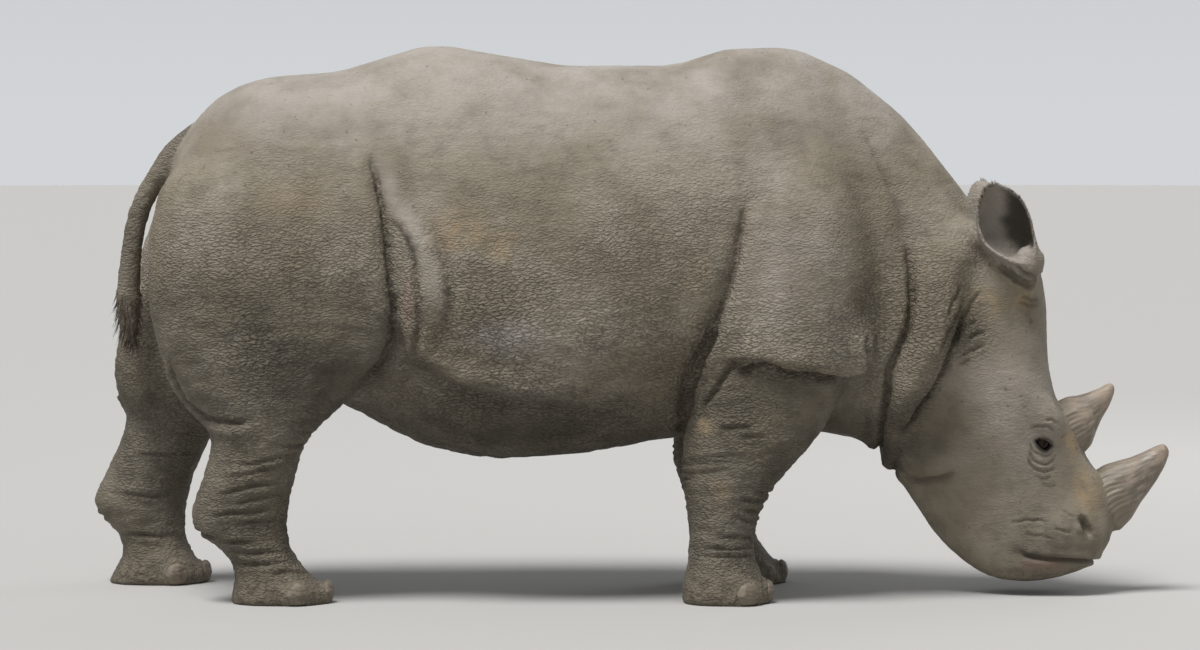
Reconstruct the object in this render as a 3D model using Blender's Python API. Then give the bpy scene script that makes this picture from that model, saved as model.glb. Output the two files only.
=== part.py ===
"""A grazing white rhinoceros cow, life size, as a still museum model.

The animal stands on the plane z = 0 and looks along +X; its right side faces -Y. The flesh is
modelled whole: lofted forms melt together in a voxel remesh, folds are pressed into the skin, and
thin cuts then part it into head, neck, trunk and legs. Tail, ears, horns, eyes and nails are pieces
of their own, each sunk into a pocket that follows it with a small gap.
"""

import math

import bmesh
import bpy
import numpy as np
from mathutils import Matrix, Vector
from mathutils.bvhtree import BVHTree
from mathutils.kdtree import KDTree

# Driving dimensions, in metres and degrees. Every outline below is drawn for an animal of the
# drawn height at the shoulder, and the finished one is scaled to the real height.
SHOULDER_HEIGHT = 1.65
DRAWN_SHOULDER_HEIGHT = 1.70
HEAD_PITCH = 62.0
HEAD_BASE = Vector((0.935, 0.0, 0.835))
FIT_GAP = 0.0005
CUT_WIDTH = 0.0030
VOXEL = 0.014
SMOOTHING = 22
UNCUT_TRIANGLES = 24000
TRIANGLES = {"head": 1600, "neck": 340, "trunk": 1660, "fore_leg": 430, "hind_leg": 490}
RING_POINTS = 44
FAR_OUT = 3.0
WELD = 0.00001
SOLE_BAND = 0.002

SIDES = (("right", -1), ("left", 1))

# The torso and neck, from rump to throat. Each station is a section between a point on the back
# line and a point on the belly line: back x and z, belly x and z, half width, height of the widest
# level as a share of the section, and the squareness of its upper and lower halves (2 is round).
TORSO = (
    (-1.440, 1.240, -1.440, 1.000, 0.090, 0.50, 2.0, 2.0),
    (-1.410, 1.370, -1.400, 0.840, 0.210, 0.50, 2.0, 2.0),
    (-1.340, 1.485, -1.340, 0.740, 0.295, 0.50, 2.3, 2.0),
    (-1.240, 1.568, -1.240, 0.680, 0.345, 0.50, 2.4, 2.0),
    (-1.110, 1.607, -1.110, 0.640, 0.375, 0.52, 2.4, 2.0),
    (-0.930, 1.620, -0.930, 0.600, 0.390, 0.52, 2.3, 2.0),
    (-0.750, 1.672, -0.750, 0.510, 0.415, 0.48, 2.15, 2.1),
    (-0.610, 1.706, -0.610, 0.450, 0.445, 0.44, 2.0, 2.2),
    (-0.400, 1.672, -0.400, 0.418, 0.465, 0.40, 2.1, 2.2),
    (-0.150, 1.640, -0.150, 0.436, 0.465, 0.40, 2.1, 2.2),
    (0.100, 1.642, 0.100, 0.480, 0.430, 0.42, 2.0, 2.1),
    (0.300, 1.695, 0.300, 0.500, 0.390, 0.44, 1.85, 2.1),
    (0.460, 1.702, 0.480, 0.500, 0.355, 0.44, 1.8, 2.1),
    (0.620, 1.650, 0.580, 0.500, 0.310, 0.42, 1.8, 2.1),
    (0.760, 1.560, 0.660, 0.485, 0.270, 0.42, 1.85, 2.1),
    (0.880, 1.445, 0.730, 0.475, 0.245, 0.42, 1.9, 2.1),
    (1.000, 1.295, 0.780, 0.468, 0.240, 0.44, 2.0, 2.0),
    (1.080, 1.190, 0.820, 0.465, 0.220, 0.46, 2.0, 2.0),
    (1.140, 1.080, 0.920, 0.500, 0.175, 0.48, 2.0, 2.0),
)

# The head in its own frame: X runs from nape to muzzle and Z out of the forehead. Each station is
# forehead x and z, jaw x and z, half width, widest level and squareness, as on the torso.
HEAD = (
    (-0.190, 0.240, -0.160, -0.150, 0.120, 0.50, 2.0, 2.0),
    (-0.140, 0.340, -0.100, -0.230, 0.185, 0.52, 2.0, 2.0),
    (-0.030, 0.385, 0.000, -0.275, 0.200, 0.52, 1.9, 2.0),
    (0.100, 0.350, 0.100, -0.285, 0.200, 0.52, 1.9, 2.0),
    (0.200, 0.300, 0.200, -0.300, 0.200, 0.54, 2.0, 1.9),
    (0.300, 0.256, 0.300, -0.318, 0.196, 0.58, 2.1, 1.8),
    (0.400, 0.232, 0.390, -0.318, 0.186, 0.62, 2.2, 1.8),
    (0.500, 0.222, 0.490, -0.310, 0.165, 0.62, 2.3, 1.8),
    (0.585, 0.236, 0.575, -0.302, 0.146, 0.58, 2.3, 1.9),
    (0.660, 0.240, 0.650, -0.280, 0.142, 0.52, 2.3, 2.1),
    (0.745, 0.232, 0.725, -0.246, 0.148, 0.50, 2.5, 2.4),
    (0.810, 0.212, 0.780, -0.208, 0.154, 0.50, 2.8, 2.8),
    (0.865, 0.160, 0.830, -0.140, 0.138, 0.50, 2.8, 2.8),
    (0.895, 0.090, 0.868, -0.060, 0.095, 0.50, 2.4, 2.4),
)

# Swellings of the head, on each side of it: centre and radii in the head's frame.
HEAD_SWELLINGS = (
    ((0.130, 0.120, -0.110), (0.200, 0.092, 0.165)),  # jaw muscle
    ((0.255, 0.135, 0.120), (0.190, 0.065, 0.070)),  # cheekbone
    ((0.405, 0.120, 0.172), (0.085, 0.050, 0.048)),  # brow
    ((0.745, 0.098, 0.060), (0.110, 0.066, 0.110)),  # nostril pad
    ((0.690, 0.040, 0.150), (0.125, 0.080, 0.095)),  # boss of the front horn
    ((0.485, 0.035, 0.165), (0.115, 0.075, 0.080)),  # boss of the rear horn
    ((-0.015, 0.124, 0.285), (0.078, 0.064, 0.072)),  # root of the ear
)

# Legs, from below the sole up into the body. Each station is height, rear x, front x, and how far
# the inner and outer sides lie from the middle plane. The left feet stand where the step puts
# them: height, and how far the leg lies ahead of the right one there.
FORE_LEG = (
    (-0.050, 0.150, 0.420, 0.155, 0.401),
    (0.020, 0.148, 0.425, 0.152, 0.403),
    (0.060, 0.150, 0.412, 0.155, 0.400),
    (0.105, 0.164, 0.388, 0.163, 0.389),
    (0.180, 0.172, 0.372, 0.168, 0.376),
    (0.260, 0.168, 0.388, 0.162, 0.382),
    (0.320, 0.160, 0.412, 0.155, 0.388),
    (0.380, 0.150, 0.456, 0.145, 0.391),
    (0.450, 0.152, 0.524, 0.134, 0.394),
    (0.520, 0.155, 0.580, 0.120, 0.397),
    (0.600, 0.190, 0.622, 0.100, 0.399),
    (0.690, 0.235, 0.655, 0.070, 0.404),
    (0.790, 0.255, 0.700, 0.030, 0.413),
    (0.900, 0.265, 0.725, 0.000, 0.419),
    (1.020, 0.295, 0.735, 0.000, 0.417),
    (1.160, 0.330, 0.715, 0.000, 0.403),
    (1.300, 0.380, 0.670, 0.000, 0.335),
    (1.460, 0.460, 0.600, 0.000, 0.223),
)
FORE_STEP = (
    (0.00, 0.076),
    (0.07, 0.055),
    (0.14, 0.026),
    (0.25, 0.008),
    (0.40, -0.020),
    (0.60, -0.020),
    (0.80, 0.0),
)
HIND_LEG = (
    (-0.050, -1.232, -0.915, 0.160, 0.396),
    (0.020, -1.230, -0.912, 0.158, 0.397),
    (0.050, -1.222, -0.938, 0.162, 0.393),
    (0.090, -1.212, -0.985, 0.174, 0.386),
    (0.135, -1.232, -1.022, 0.180, 0.376),
    (0.180, -1.280, -1.046, 0.180, 0.376),
    (0.225, -1.338, -1.052, 0.174, 0.380),
    (0.270, -1.354, -1.050, 0.170, 0.384),
    (0.330, -1.334, -1.040, 0.164, 0.387),
    (0.400, -1.306, -1.022, 0.154, 0.389),
    (0.470, -1.288, -1.002, 0.138, 0.392),
    (0.530, -1.290, -0.962, 0.112, 0.397),
    (0.600, -1.355, -0.882, 0.070, 0.403),
    (0.700, -1.420, -0.792, 0.045, 0.411),
    (0.810, -1.462, -0.732, 0.028, 0.416),
    (0.950, -1.484, -0.722, 0.015, 0.418),
    (1.080, -1.482, -0.735, 0.005, 0.412),
    (1.230, -1.458, -0.765, 0.000, 0.393),
    (1.400, -1.355, -0.830, 0.000, 0.300),
)
HIND_STEP = (
    (0.00, -0.440),
    (0.08, -0.410),
    (0.20, -0.366),
    (0.35, -0.352),
    (0.50, -0.322),
    (0.62, -0.265),
    (0.78, -0.170),
    (0.95, -0.095),
    (1.15, -0.040),
    (1.35, 0.0),
)
LEG_SQUARENESS = 2.25

# Hanging rolls of skin: points x, distance from the middle plane, z, and the roll's radius there.
# The neck roll runs on round the throat to the other side.
NECK_ROLL = (
    (1.040, 0.120, 1.160, 0.040),
    (0.965, 0.155, 1.040, 0.088),
    (0.910, 0.168, 0.900, 0.108),
    (0.880, 0.165, 0.770, 0.112),
    (0.845, 0.135, 0.640, 0.110),
    (0.810, 0.080, 0.560, 0.104),
    (0.795, 0.000, 0.535, 0.100),
)
ELBOW_FLAP = (
    (0.340, 0.300, 0.780, 0.070),
    (0.440, 0.306, 0.800, 0.094),
    (0.540, 0.296, 0.800, 0.100),
    (0.630, 0.270, 0.795, 0.098),
    (0.685, 0.225, 0.790, 0.090),
)
FLANK_ROLL = (
    (-0.700, 0.360, 1.180, 0.050),
    (-0.655, 0.372, 1.060, 0.072),
    (-0.632, 0.372, 0.940, 0.080),
    (-0.645, 0.355, 0.820, 0.080),
    (-0.700, 0.315, 0.710, 0.070),
)

# Folds pressed into the finished flesh, as lines x, z seen from the side: the depth and half width
# of the crease, then the height and half width of the lip beside it. A lip lies on the far side of
# the line as it is drawn from the animal's tail or top; a negative one lies on the near side.
FOLDS = (
    # The thigh over the flank.
    (
        ((-0.800, 1.400), (-0.775, 1.280), (-0.752, 1.160), (-0.735, 1.030), (-0.722, 0.910),
         (-0.735, 0.800), (-0.790, 0.710), (-0.860, 0.640)),
        0.024, 0.022, -0.020, 0.050,
    ),
    # The shoulder over the ribs.
    (
        ((0.350, 1.240), (0.330, 1.130), (0.308, 1.020), (0.278, 0.920), (0.240, 0.820),
         (0.200, 0.740), (0.165, 0.660), (0.150, 0.560)),
        0.026, 0.024, 0.022, 0.050,
    ),
    # The neck against the shoulder, and the head against the neck.
    (
        ((0.800, 1.260), (0.822, 1.150), (0.848, 1.060), (0.852, 0.950), (0.850, 0.870),
         (0.828, 0.790), (0.800, 0.700), (0.780, 0.610), (0.765, 0.520)),
        0.022, 0.020, -0.016, 0.045,
    ),
    (
        ((1.035, 0.935), (1.005, 0.850), (0.975, 0.780), (0.950, 0.710), (0.915, 0.640),
         (0.865, 0.570), (0.830, 0.510)),
        0.026, 0.022, -0.020, 0.050,
    ),
    # Under the elbow flap, behind the jowl, and between the lips.
    (
        ((0.300, 0.700), (0.370, 0.728), (0.450, 0.712), (0.540, 0.705), (0.630, 0.695),
         (0.700, 0.690)),
        0.020, 0.022, 0.018, 0.045,
    ),
    (
        ((0.830, 0.372), (0.890, 0.360), (0.950, 0.364), (1.010, 0.385)),
        0.012, 0.018, 0.010, 0.035,
    ),
    (
        ((1.150, 0.150), (1.200, 0.132), (1.260, 0.122), (1.320, 0.112), (1.380, 0.100)),
        0.014, 0.014, 0.006, 0.030,
    ),
)

# Horns in the head's frame, from the root inside the nose to the blunt tip: height, centre x, half
# length and half width.
HORN_FRONT = (
    (0.170, 0.745, 0.080, 0.070),
    (0.235, 0.740, 0.100, 0.084),
    (0.300, 0.724, 0.078, 0.066),
    (0.350, 0.718, 0.060, 0.051),
    (0.410, 0.704, 0.041, 0.037),
    (0.450, 0.690, 0.025, 0.024),
    (0.466, 0.684, 0.012, 0.012),
)
HORN_REAR = (
    (0.180, 0.488, 0.070, 0.060),
    (0.240, 0.484, 0.092, 0.080),
    (0.287, 0.473, 0.066, 0.060),
    (0.325, 0.462, 0.046, 0.044),
    (0.375, 0.449, 0.027, 0.028),
    (0.398, 0.437, 0.017, 0.018),
    (0.408, 0.433, 0.008, 0.009),
)

# The ear: a leaf rolled into a tube at its foot. Stations along it: height as a share of its
# length, radius, how far its rear and front rims stand from the opening's middle, and how far
# the roll's own middle has moved back.
EAR_LENGTH = 0.278
EAR_FOOT = (1.221, 0.145, 1.004)
EAR_THICKNESS = 0.012
EAR_VOXEL = 0.004
EAR_TRIANGLES = 390
EAR_ROOT, EAR_ROOT_HEIGHT = 0.049, 0.036
EAR_LEAN_OUT, EAR_FACES = 15.0, 60.0
EAR = (
    (0.00, 0.040, 3.0, 3.0, 0.000),
    (0.12, 0.049, 8.0, 6.0, 0.014),
    (0.24, 0.070, 62.0, 22.0, 0.046),
    (0.38, 0.082, 92.0, 42.0, 0.068),
    (0.55, 0.082, 108.0, 58.0, 0.079),
    (0.72, 0.076, 112.0, 68.0, 0.087),
    (0.86, 0.060, 120.0, 84.0, 0.094),
    (0.95, 0.044, 136.0, 112.0, 0.104),
    (1.00, 0.032, 162.0, 150.0, 0.112),
)

# The tail: x, z and radius down its middle.
TAIL = (
    (-1.335, 1.425, 0.050),
    (-1.420, 1.362, 0.044),
    (-1.478, 1.285, 0.036),
    (-1.522, 1.208, 0.034),
    (-1.548, 1.110, 0.034),
    (-1.560, 1.010, 0.036),
    (-1.566, 0.920, 0.040),
    (-1.566, 0.845, 0.034),
    (-1.548, 0.775, 0.012),
)

# Where thin cuts part the flesh: two points x, z of each cross cut; and for each leg an outline
# x, z seen from the side and an outline y, z seen from the front.
NECK_CUT = ((0.700, 1.620), (0.785, 0.450))
HEAD_CUT = ((1.135, 1.200), (0.865, 0.450))
FORE_LEG_CUT = (
    ((0.080, -0.100), (0.080, 0.500), (0.160, 0.600), (0.235, 0.705), (0.715, 0.705),
     (0.715, -0.100)),
    ((0.700, -0.100), (0.700, 0.900), (0.240, 0.900), (0.240, 0.760), (0.040, 0.520),
     (0.040, -0.100)),
)
HIND_LEG_CUT = (
    ((-1.900, -0.100), (-1.900, 0.980), (-0.715, 0.980), (-0.732, 0.800), (-0.870, 0.620),
     (-0.870, -0.100)),
    ((0.700, -0.100), (0.700, 1.200), (0.330, 1.200), (0.330, 0.980), (0.035, 0.620),
     (0.035, -0.100)),
)

EYE_RADIUS = 0.025
EYE_PLACE = (1.268, 0.478)
EYE_SINK = 0.013

NAIL_TURNS = (-58.0, 0.0, 58.0)
NAIL_RADII = (0.020, 0.040, 0.036)
NAIL_HEIGHT = 0.034
FORE_FOOT = (0.290, 0.285)
HIND_FOOT = (-1.075, 0.282)
SHARP_ANGLE = 50.0

SKIN_GREY = (0.185, 0.165, 0.140)
HORN_TAN = (0.270, 0.205, 0.150)
NAIL_BROWN = (0.130, 0.105, 0.080)
EYE_BLACK = (0.012, 0.010, 0.008)


def material(name, colour, roughness):
    made = bpy.data.materials.new(name)
    made.use_nodes = True
    shader = made.node_tree.nodes["Principled BSDF"]
    shader.inputs["Base Color"].default_value = (*colour, 1.0)
    shader.inputs["Roughness"].default_value = roughness
    shader.inputs["Metallic"].default_value = 0.0
    return made


def object_of(name, mesh):
    obj = bpy.data.objects.new(name, mesh)
    bpy.context.scene.collection.objects.link(obj)
    return obj


def mesh_of(name, form):
    """The mesh of a bmesh, with its faces turned out."""
    bmesh.ops.recalc_face_normals(form, faces=form.faces)
    mesh = bpy.data.meshes.new(name)
    form.to_mesh(mesh)
    form.free()
    return mesh


def remove(*objects):
    for obj in objects:
        bpy.data.objects.remove(obj)


def eased(stations, count):
    """count rows read off smooth lines through the stations, which overshoot no station."""
    rows = np.array(stations, float)
    rise = np.diff(rows, axis=0)
    before, after = rise[:-1], rise[1:]
    same_way = before * after > 0
    sums = np.where(same_way, before + after, 1.0)
    slope = np.zeros_like(rows)
    slope[1:-1] = np.where(same_way, 2 * before * after / sums, 0.0)
    slope[0], slope[-1] = rise[0], rise[-1]
    at = np.linspace(0, len(rows) - 1, count)
    low = np.minimum(at.astype(int), len(rows) - 2)
    t = (at - low)[:, None]
    return (
        (1 + 2 * t) * (1 - t) ** 2 * rows[low]
        + t * (1 - t) ** 2 * slope[low]
        + t * t * (3 - 2 * t) * rows[low + 1]
        - t * t * (1 - t) * slope[low + 1]
    )


def skinned(name, rings):
    """A closed mesh through rings of points, all with the same count, with fans at both ends."""
    form = bmesh.new()
    rows = [[form.verts.new(point) for point in ring] for ring in rings]
    for row, following in zip(rows, rows[1:]):
        for k, corner in enumerate(row):
            form.faces.new((row[k - 1], corner, following[k], following[k - 1]))
    for row in (rows[0], rows[-1]):
        middle = form.verts.new(sum((corner.co for corner in row), Vector()) / len(row))
        for k, corner in enumerate(row):
            form.faces.new((row[k - 1], corner, middle))
    return object_of(name, mesh_of(name, form))


def power(value, squareness):
    return math.copysign(abs(value) ** (2.0 / squareness), value)


def upright_ring(station):
    """A section between a back and a belly point in the middle plane."""
    back_x, back_z, belly_x, belly_z, half_width, widest, upper, lower = station
    back, belly = Vector((back_x, 0, back_z)), Vector((belly_x, 0, belly_z))
    ring = []
    for k in range(RING_POINTS):
        angle = 2 * math.pi * k / RING_POINTS
        squareness = upper if math.sin(angle) > 0 else lower
        rise = power(math.sin(angle), squareness)
        share = widest + rise * (1 - widest if rise > 0 else widest)
        point = belly.lerp(back, share)
        point.y = half_width * power(math.cos(angle), squareness)
        ring.append(point)
    return ring


def level_ring(middle, half_x, half_y, squareness, count=RING_POINTS):
    """A level section round a point."""
    ring = []
    for k in range(count):
        angle = 2 * math.pi * k / count
        offset = Vector((power(math.cos(angle), squareness), power(math.sin(angle), squareness)))
        ring.append(middle + Vector((half_x * offset.x, half_y * offset.y, 0)))
    return ring


def step_ahead(step, height, side):
    """How far ahead of the right leg this one lies at a height."""
    heights, distances = zip(*step)
    return float(np.interp(height, heights, distances)) if side > 0 else 0.0


def leg_form(stations, step, side):
    rings = []
    for height, rear, front, inner, outer in eased(stations, 60):
        ahead = step_ahead(step, height, side)
        middle = Vector(((rear + front) / 2 + ahead, side * (inner + outer) / 2, height))
        rings.append(level_ring(middle, (front - rear) / 2, (outer - inner) / 2, LEG_SQUARENESS))
    return skinned("leg_form", rings)


def meshed(obj):
    """The object as Blender evaluates it, as a plain mesh in its place."""
    graph = bpy.context.evaluated_depsgraph_get()
    mesh = bpy.data.meshes.new_from_object(obj.evaluated_get(graph))
    mesh.transform(obj.matrix_world)
    name = obj.name
    remove(obj)
    return object_of(name, mesh)


def modified(obj, kind, **settings):
    """The object with one modifier applied."""
    modifier = obj.modifiers.new(kind.title(), kind)
    for key, value in settings.items():
        setattr(modifier, key, value)
    return meshed(obj)


def combined(obj, other, operation):
    """The exact Boolean of two objects; the second one is used up."""
    made = modified(obj, "BOOLEAN", operation=operation, solver="EXACT", object=other)
    remove(other)
    return modified(made, "TRIANGULATE")


def tube(name, path):
    """A tube with closed ends along points x, y, z, each with its radius."""
    curve = bpy.data.curves.new(name, "CURVE")
    curve.dimensions = "3D"
    curve.bevel_depth = 1.0
    curve.bevel_resolution = 3
    curve.use_fill_caps = True
    spline = curve.splines.new("POLY")
    spline.points.add(len(path) - 1)
    for point, (x, y, z, radius) in zip(spline.points, path):
        point.co = (x, y, z, 1.0)
        point.radius = radius
    return modified(meshed(object_of(name, curve)), "WELD", merge_threshold=WELD)


def roll(points, side, round_throat=False):
    path = [(x, side * y, z, radius) for x, y, z, radius in points]
    if round_throat:
        path += [(x, -y, z, radius) for x, y, z, radius in reversed(path[:-1])]
    return tube("roll", eased(path, 6 * len(path)))


def ball(centre, radii, segments=24):
    form = bmesh.new()
    bmesh.ops.create_uvsphere(form, u_segments=segments, v_segments=segments // 2, radius=1.0)
    form.transform(Matrix.Translation(centre) @ Matrix.Diagonal((*radii, 1.0)))
    return object_of("ball", mesh_of("ball", form))


def in_head_place(obj):
    """Moves an object from the head's frame to the world's."""
    turn = Matrix.Rotation(math.radians(HEAD_PITCH), 4, "Y")
    obj.data.transform(Matrix.Translation(HEAD_BASE) @ turn)
    return obj


def joined(objects):
    form = bmesh.new()
    for obj in objects:
        form.from_mesh(obj.data)
    remove(*objects)
    return object_of("flesh", mesh_of("flesh", form))


def flesh_forms():
    """The lofts, swellings and rolls that the whole body is melted from."""
    forms = [skinned("torso", [upright_ring(station) for station in eased(TORSO, 70)])]
    head = [skinned("head", [upright_ring(station) for station in eased(HEAD, 50)])]
    for _, side in SIDES:
        for (x, y, z), radii in HEAD_SWELLINGS:
            head.append(ball(Vector((x, side * y, z)), radii))
        forms.append(leg_form(FORE_LEG, FORE_STEP, side))
        forms.append(leg_form(HIND_LEG, HIND_STEP, side))
        forms.append(roll(ELBOW_FLAP, side))
        forms.append(roll(FLANK_ROLL, side))
    forms.append(roll(NECK_ROLL, 1, round_throat=True))
    return forms + [in_head_place(form) for form in head]


def surface_of(obj):
    form = bmesh.new()
    form.from_mesh(obj.data)
    surface = BVHTree.FromBMesh(form)
    form.free()
    return surface


def on_skin(surface, x, z, side):
    """The point and normal of the skin that is seen at x, z from one side."""
    start = Vector((x, side * FAR_OUT, z))
    place, normal, _, _ = surface.ray_cast(start, Vector((0, -side, 0)))
    if place is None:
        place, normal, _, _ = surface.find_nearest(Vector((x, 0, z)))
    return place, normal


def press_folds(obj):
    """Presses each fold into both sides: a crease, and a lip of skin that swells beside it."""
    surface = surface_of(obj)
    mesh = obj.data
    moves = [Vector() for _ in mesh.vertices]
    for line, depth, crease, height, lip in FOLDS:
        reach = 3.5 * max(crease, abs(lip))
        for _, side in SIDES:
            spots = [on_skin(surface, x, z, side) for x, z in eased(line, 14 * len(line))]
            tree = KDTree(len(spots))
            for k, (place, _) in enumerate(spots):
                tree.insert(place, k)
            tree.balance()
            for vertex in mesh.vertices:
                place, k, distance = tree.find(vertex.co)
                if distance > reach:
                    continue
                along = spots[min(k + 1, len(spots) - 1)][0] - spots[max(k - 1, 0)][0]
                across = along.cross(spots[k][1]) * side
                beyond = across.dot(vertex.co - place) * height > 0
                fade = min(1.0, min(k, len(spots) - 1 - k) / (0.16 * len(spots)))
                share = distance / abs(lip)
                rise = abs(height) * share * math.exp(1 - share) if beyond else 0.0
                push = rise - depth * math.exp(-((distance / crease) ** 2))
                moves[vertex.index] += vertex.normal * push * fade
    for vertex, move in zip(mesh.vertices, moves):
        vertex.co += move


def block(low, high):
    form = bmesh.new()
    bmesh.ops.create_cube(form, size=1.0)
    size, middle = Vector(high) - Vector(low), (Vector(high) + Vector(low)) / 2
    form.transform(Matrix.Translation(middle) @ Matrix.Diagonal((*size, 1.0)))
    return object_of("block", mesh_of("block", form))


def thinned(obj, triangles):
    count = sum(len(face.vertices) - 2 for face in obj.data.polygons)
    return modified(obj, "DECIMATE", ratio=triangles / count)


def levelled(obj):
    """The object with its soles in one level plane, which thinning leaves a hair uneven."""
    for vertex in obj.data.vertices:
        if vertex.co.z < SOLE_BAND:
            vertex.co.z = 0.0
    return obj


def whole_flesh():
    """The body in one closed mesh, its soles on the floor."""
    flesh = joined(flesh_forms())
    flesh = modified(flesh, "REMESH", mode="VOXEL", voxel_size=VOXEL)
    flesh = modified(flesh, "SMOOTH", factor=0.5, iterations=SMOOTHING)
    press_folds(flesh)
    flesh = modified(flesh, "SMOOTH", factor=0.5, iterations=2)
    below = block((-FAR_OUT, -FAR_OUT, -1), (FAR_OUT, FAR_OUT, 0))
    flesh = combined(flesh, below, "DIFFERENCE")
    return thinned(flesh, UNCUT_TRIANGLES)


def prism(outline, direction, start, end):
    """An outline of pairs drawn out along X or Y; the pairs fill the other two coordinates."""
    corners = []
    for reach in (start, end):
        for a, b in outline:
            corners.append((reach, a, b) if direction == "X" else (a, reach, b))
    form = bmesh.new()
    made = [form.verts.new(corner) for corner in corners]
    count = len(outline)
    form.faces.new(made[:count])
    form.faces.new(made[count:])
    for k in range(count):
        after = (k + 1) % count
        form.faces.new((made[k], made[after], made[after + count], made[k + count]))
    return object_of("prism", mesh_of("prism", form))


def leg_cut(profile, section, side):
    """A thin shell round a leg, which parts it from the trunk."""
    low, high = sorted((0.0, side * FAR_OUT))
    region = prism(profile, "Y", low, high)
    across = prism([(side * y, z) for y, z in section], "X", -FAR_OUT, FAR_OUT)
    region = combined(region, across, "INTERSECT")
    return modified(region, "SOLIDIFY", thickness=CUT_WIDTH, offset=0.0, use_even_offset=True)


def cross_cut(upper, lower):
    """A thin slab right across the body, through two points x, z."""
    along = (Vector(upper) - Vector(lower)).normalized() * FAR_OUT
    half = Vector((along.y, -along.x)).normalized() * CUT_WIDTH / 2
    top, bottom = Vector(upper) + along, Vector(lower) - along
    outline = (top - half, top + half, bottom + half, bottom - half)
    return prism([tuple(corner) for corner in outline], "Y", -FAR_OUT, FAR_OUT)


def loose_parts(obj):
    """The separate bodies of a mesh, each as its own object."""
    form = bmesh.new()
    form.from_mesh(obj.data)
    remove(obj)
    left = set(form.verts)
    parts = []
    while left:
        reached = [left.pop()]
        island = set(reached)
        while reached:
            for edge in reached.pop().link_edges:
                for vertex in edge.verts:
                    if vertex in left:
                        left.remove(vertex)
                        island.add(vertex)
                        reached.append(vertex)
        piece = form.copy()
        piece.verts.ensure_lookup_table()
        kept = {vertex.index for vertex in island}
        others = [vertex for vertex in piece.verts if vertex.index not in kept]
        bmesh.ops.delete(piece, geom=others, context="VERTS")
        parts.append(object_of("part", mesh_of("part", piece)))
    form.free()
    return parts


def name_of(obj):
    """The name of a piece of flesh, from where it lies."""
    points = np.array([vertex.co for vertex in obj.data.vertices])
    low, high = points.min(axis=0), points.max(axis=0)
    if high[2] < 1.1 and low[2] < 0.01:
        which = "fore" if low[0] > 0 else "hind"
        return f"{which}_leg_{'left' if low[1] > -0.1 else 'right'}"
    if high[0] > 1.3:
        return "head"
    return "neck" if low[0] > 0 else "trunk"


def parted(flesh):
    """The flesh as named pieces, parted by thin cuts."""
    cuts = [cross_cut(*NECK_CUT), cross_cut(*HEAD_CUT)]
    for _, side in SIDES:
        cuts.append(leg_cut(*FORE_LEG_CUT, side))
        cuts.append(leg_cut(*HIND_LEG_CUT, side))
    for cut in cuts:
        flesh = combined(flesh, cut, "DIFFERENCE")
    pieces = {}
    for part in loose_parts(flesh):
        name = name_of(part)
        budget = TRIANGLES[name.rsplit("_", 1)[0] if "leg" in name else name]
        part = levelled(thinned(part, budget))
        part.name = name
        pieces[name] = part
    return pieces


def sunk(host, piece):
    """The host with a pocket that follows the piece at the fit's gap; loose crumbs fall away."""
    cutter = object_of("pocket", piece.data.copy())
    normals = [vertex.normal.copy() for vertex in cutter.data.vertices]
    for vertex, normal in zip(cutter.data.vertices, normals):
        vertex.co += FIT_GAP * normal
    parts = loose_parts(combined(host, cutter, "DIFFERENCE"))
    parts.sort(key=lambda part: len(part.data.vertices))
    remove(*parts[:-1])
    return parts[-1]


def horn(name, stations):
    rings = []
    for height, centre, half_length, half_width in eased(stations, 9):
        middle = Vector((centre, 0, height))
        rings.append(level_ring(middle, half_length, half_width, 2.1, 12))
    made = in_head_place(skinned(name, rings))
    made.name = name
    return made


def ear(name, side):
    """A rolled leaf of even thickness on a solid root."""
    columns = 25
    form = bmesh.new()
    rows = []
    for share, radius, rear, front, back in eased(EAR, 24):
        row = []
        for k in range(columns):
            angle = math.radians(rear + (360 - rear - front) * k / (columns - 1) + EAR_FACES)
            x, y = radius * math.cos(angle) - back, side * radius * math.sin(angle)
            row.append(form.verts.new((x, y, share * EAR_LENGTH)))
        rows.append(row)
    for row, following in zip(rows, rows[1:]):
        for k in range(columns - 1):
            form.faces.new((row[k], row[k + 1], following[k + 1], following[k]))
    mesh = bpy.data.meshes.new(name)
    form.to_mesh(mesh)
    form.free()
    leaf = object_of(name, mesh)
    leaf = modified(leaf, "SOLIDIFY", thickness=EAR_THICKNESS, offset=0.0, use_even_offset=True)
    root = ball(Vector((0, 0, EAR_ROOT_HEIGHT)), (EAR_ROOT,) * 3)
    leaf = modified(joined([leaf, root]), "REMESH", mode="VOXEL", voxel_size=EAR_VOXEL)
    leaf = thinned(modified(leaf, "SMOOTH", factor=0.5, iterations=3), EAR_TRIANGLES)
    leaf.name = name
    lean_out = Matrix.Rotation(-side * math.radians(EAR_LEAN_OUT), 4, "X")
    x, y, z = EAR_FOOT
    leaf.data.transform(Matrix.Translation((x, side * y, z)) @ lean_out)
    return leaf


def eye(name, surface, side):
    place, normal = on_skin(surface, *EYE_PLACE, side)
    made = ball(place - normal * EYE_SINK, (EYE_RADIUS,) * 3, 12)
    made.name = name
    return made


def nail(name, surface, centre, turn, side):
    """One toenail, set in the wall of the foot; the floor side is cut level."""
    x, y = centre
    away = Vector((math.cos(math.radians(turn)), side * math.sin(math.radians(turn)), 0))
    middle = Vector((x, side * y, NAIL_HEIGHT))
    place, _, _, _ = surface.ray_cast(middle + 0.25 * away, -away)
    made = ball(Vector((0, 0, 0)), NAIL_RADII, 8)
    facing = Matrix.Rotation(math.atan2(away.y, away.x), 4, "Z")
    made.data.transform(Matrix.Translation(place - away * 0.004) @ facing)
    made = combined(made, block((-FAR_OUT, -FAR_OUT, -1), (FAR_OUT, FAR_OUT, 0.005)), "DIFFERENCE")
    made.name = name
    return made


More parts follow.
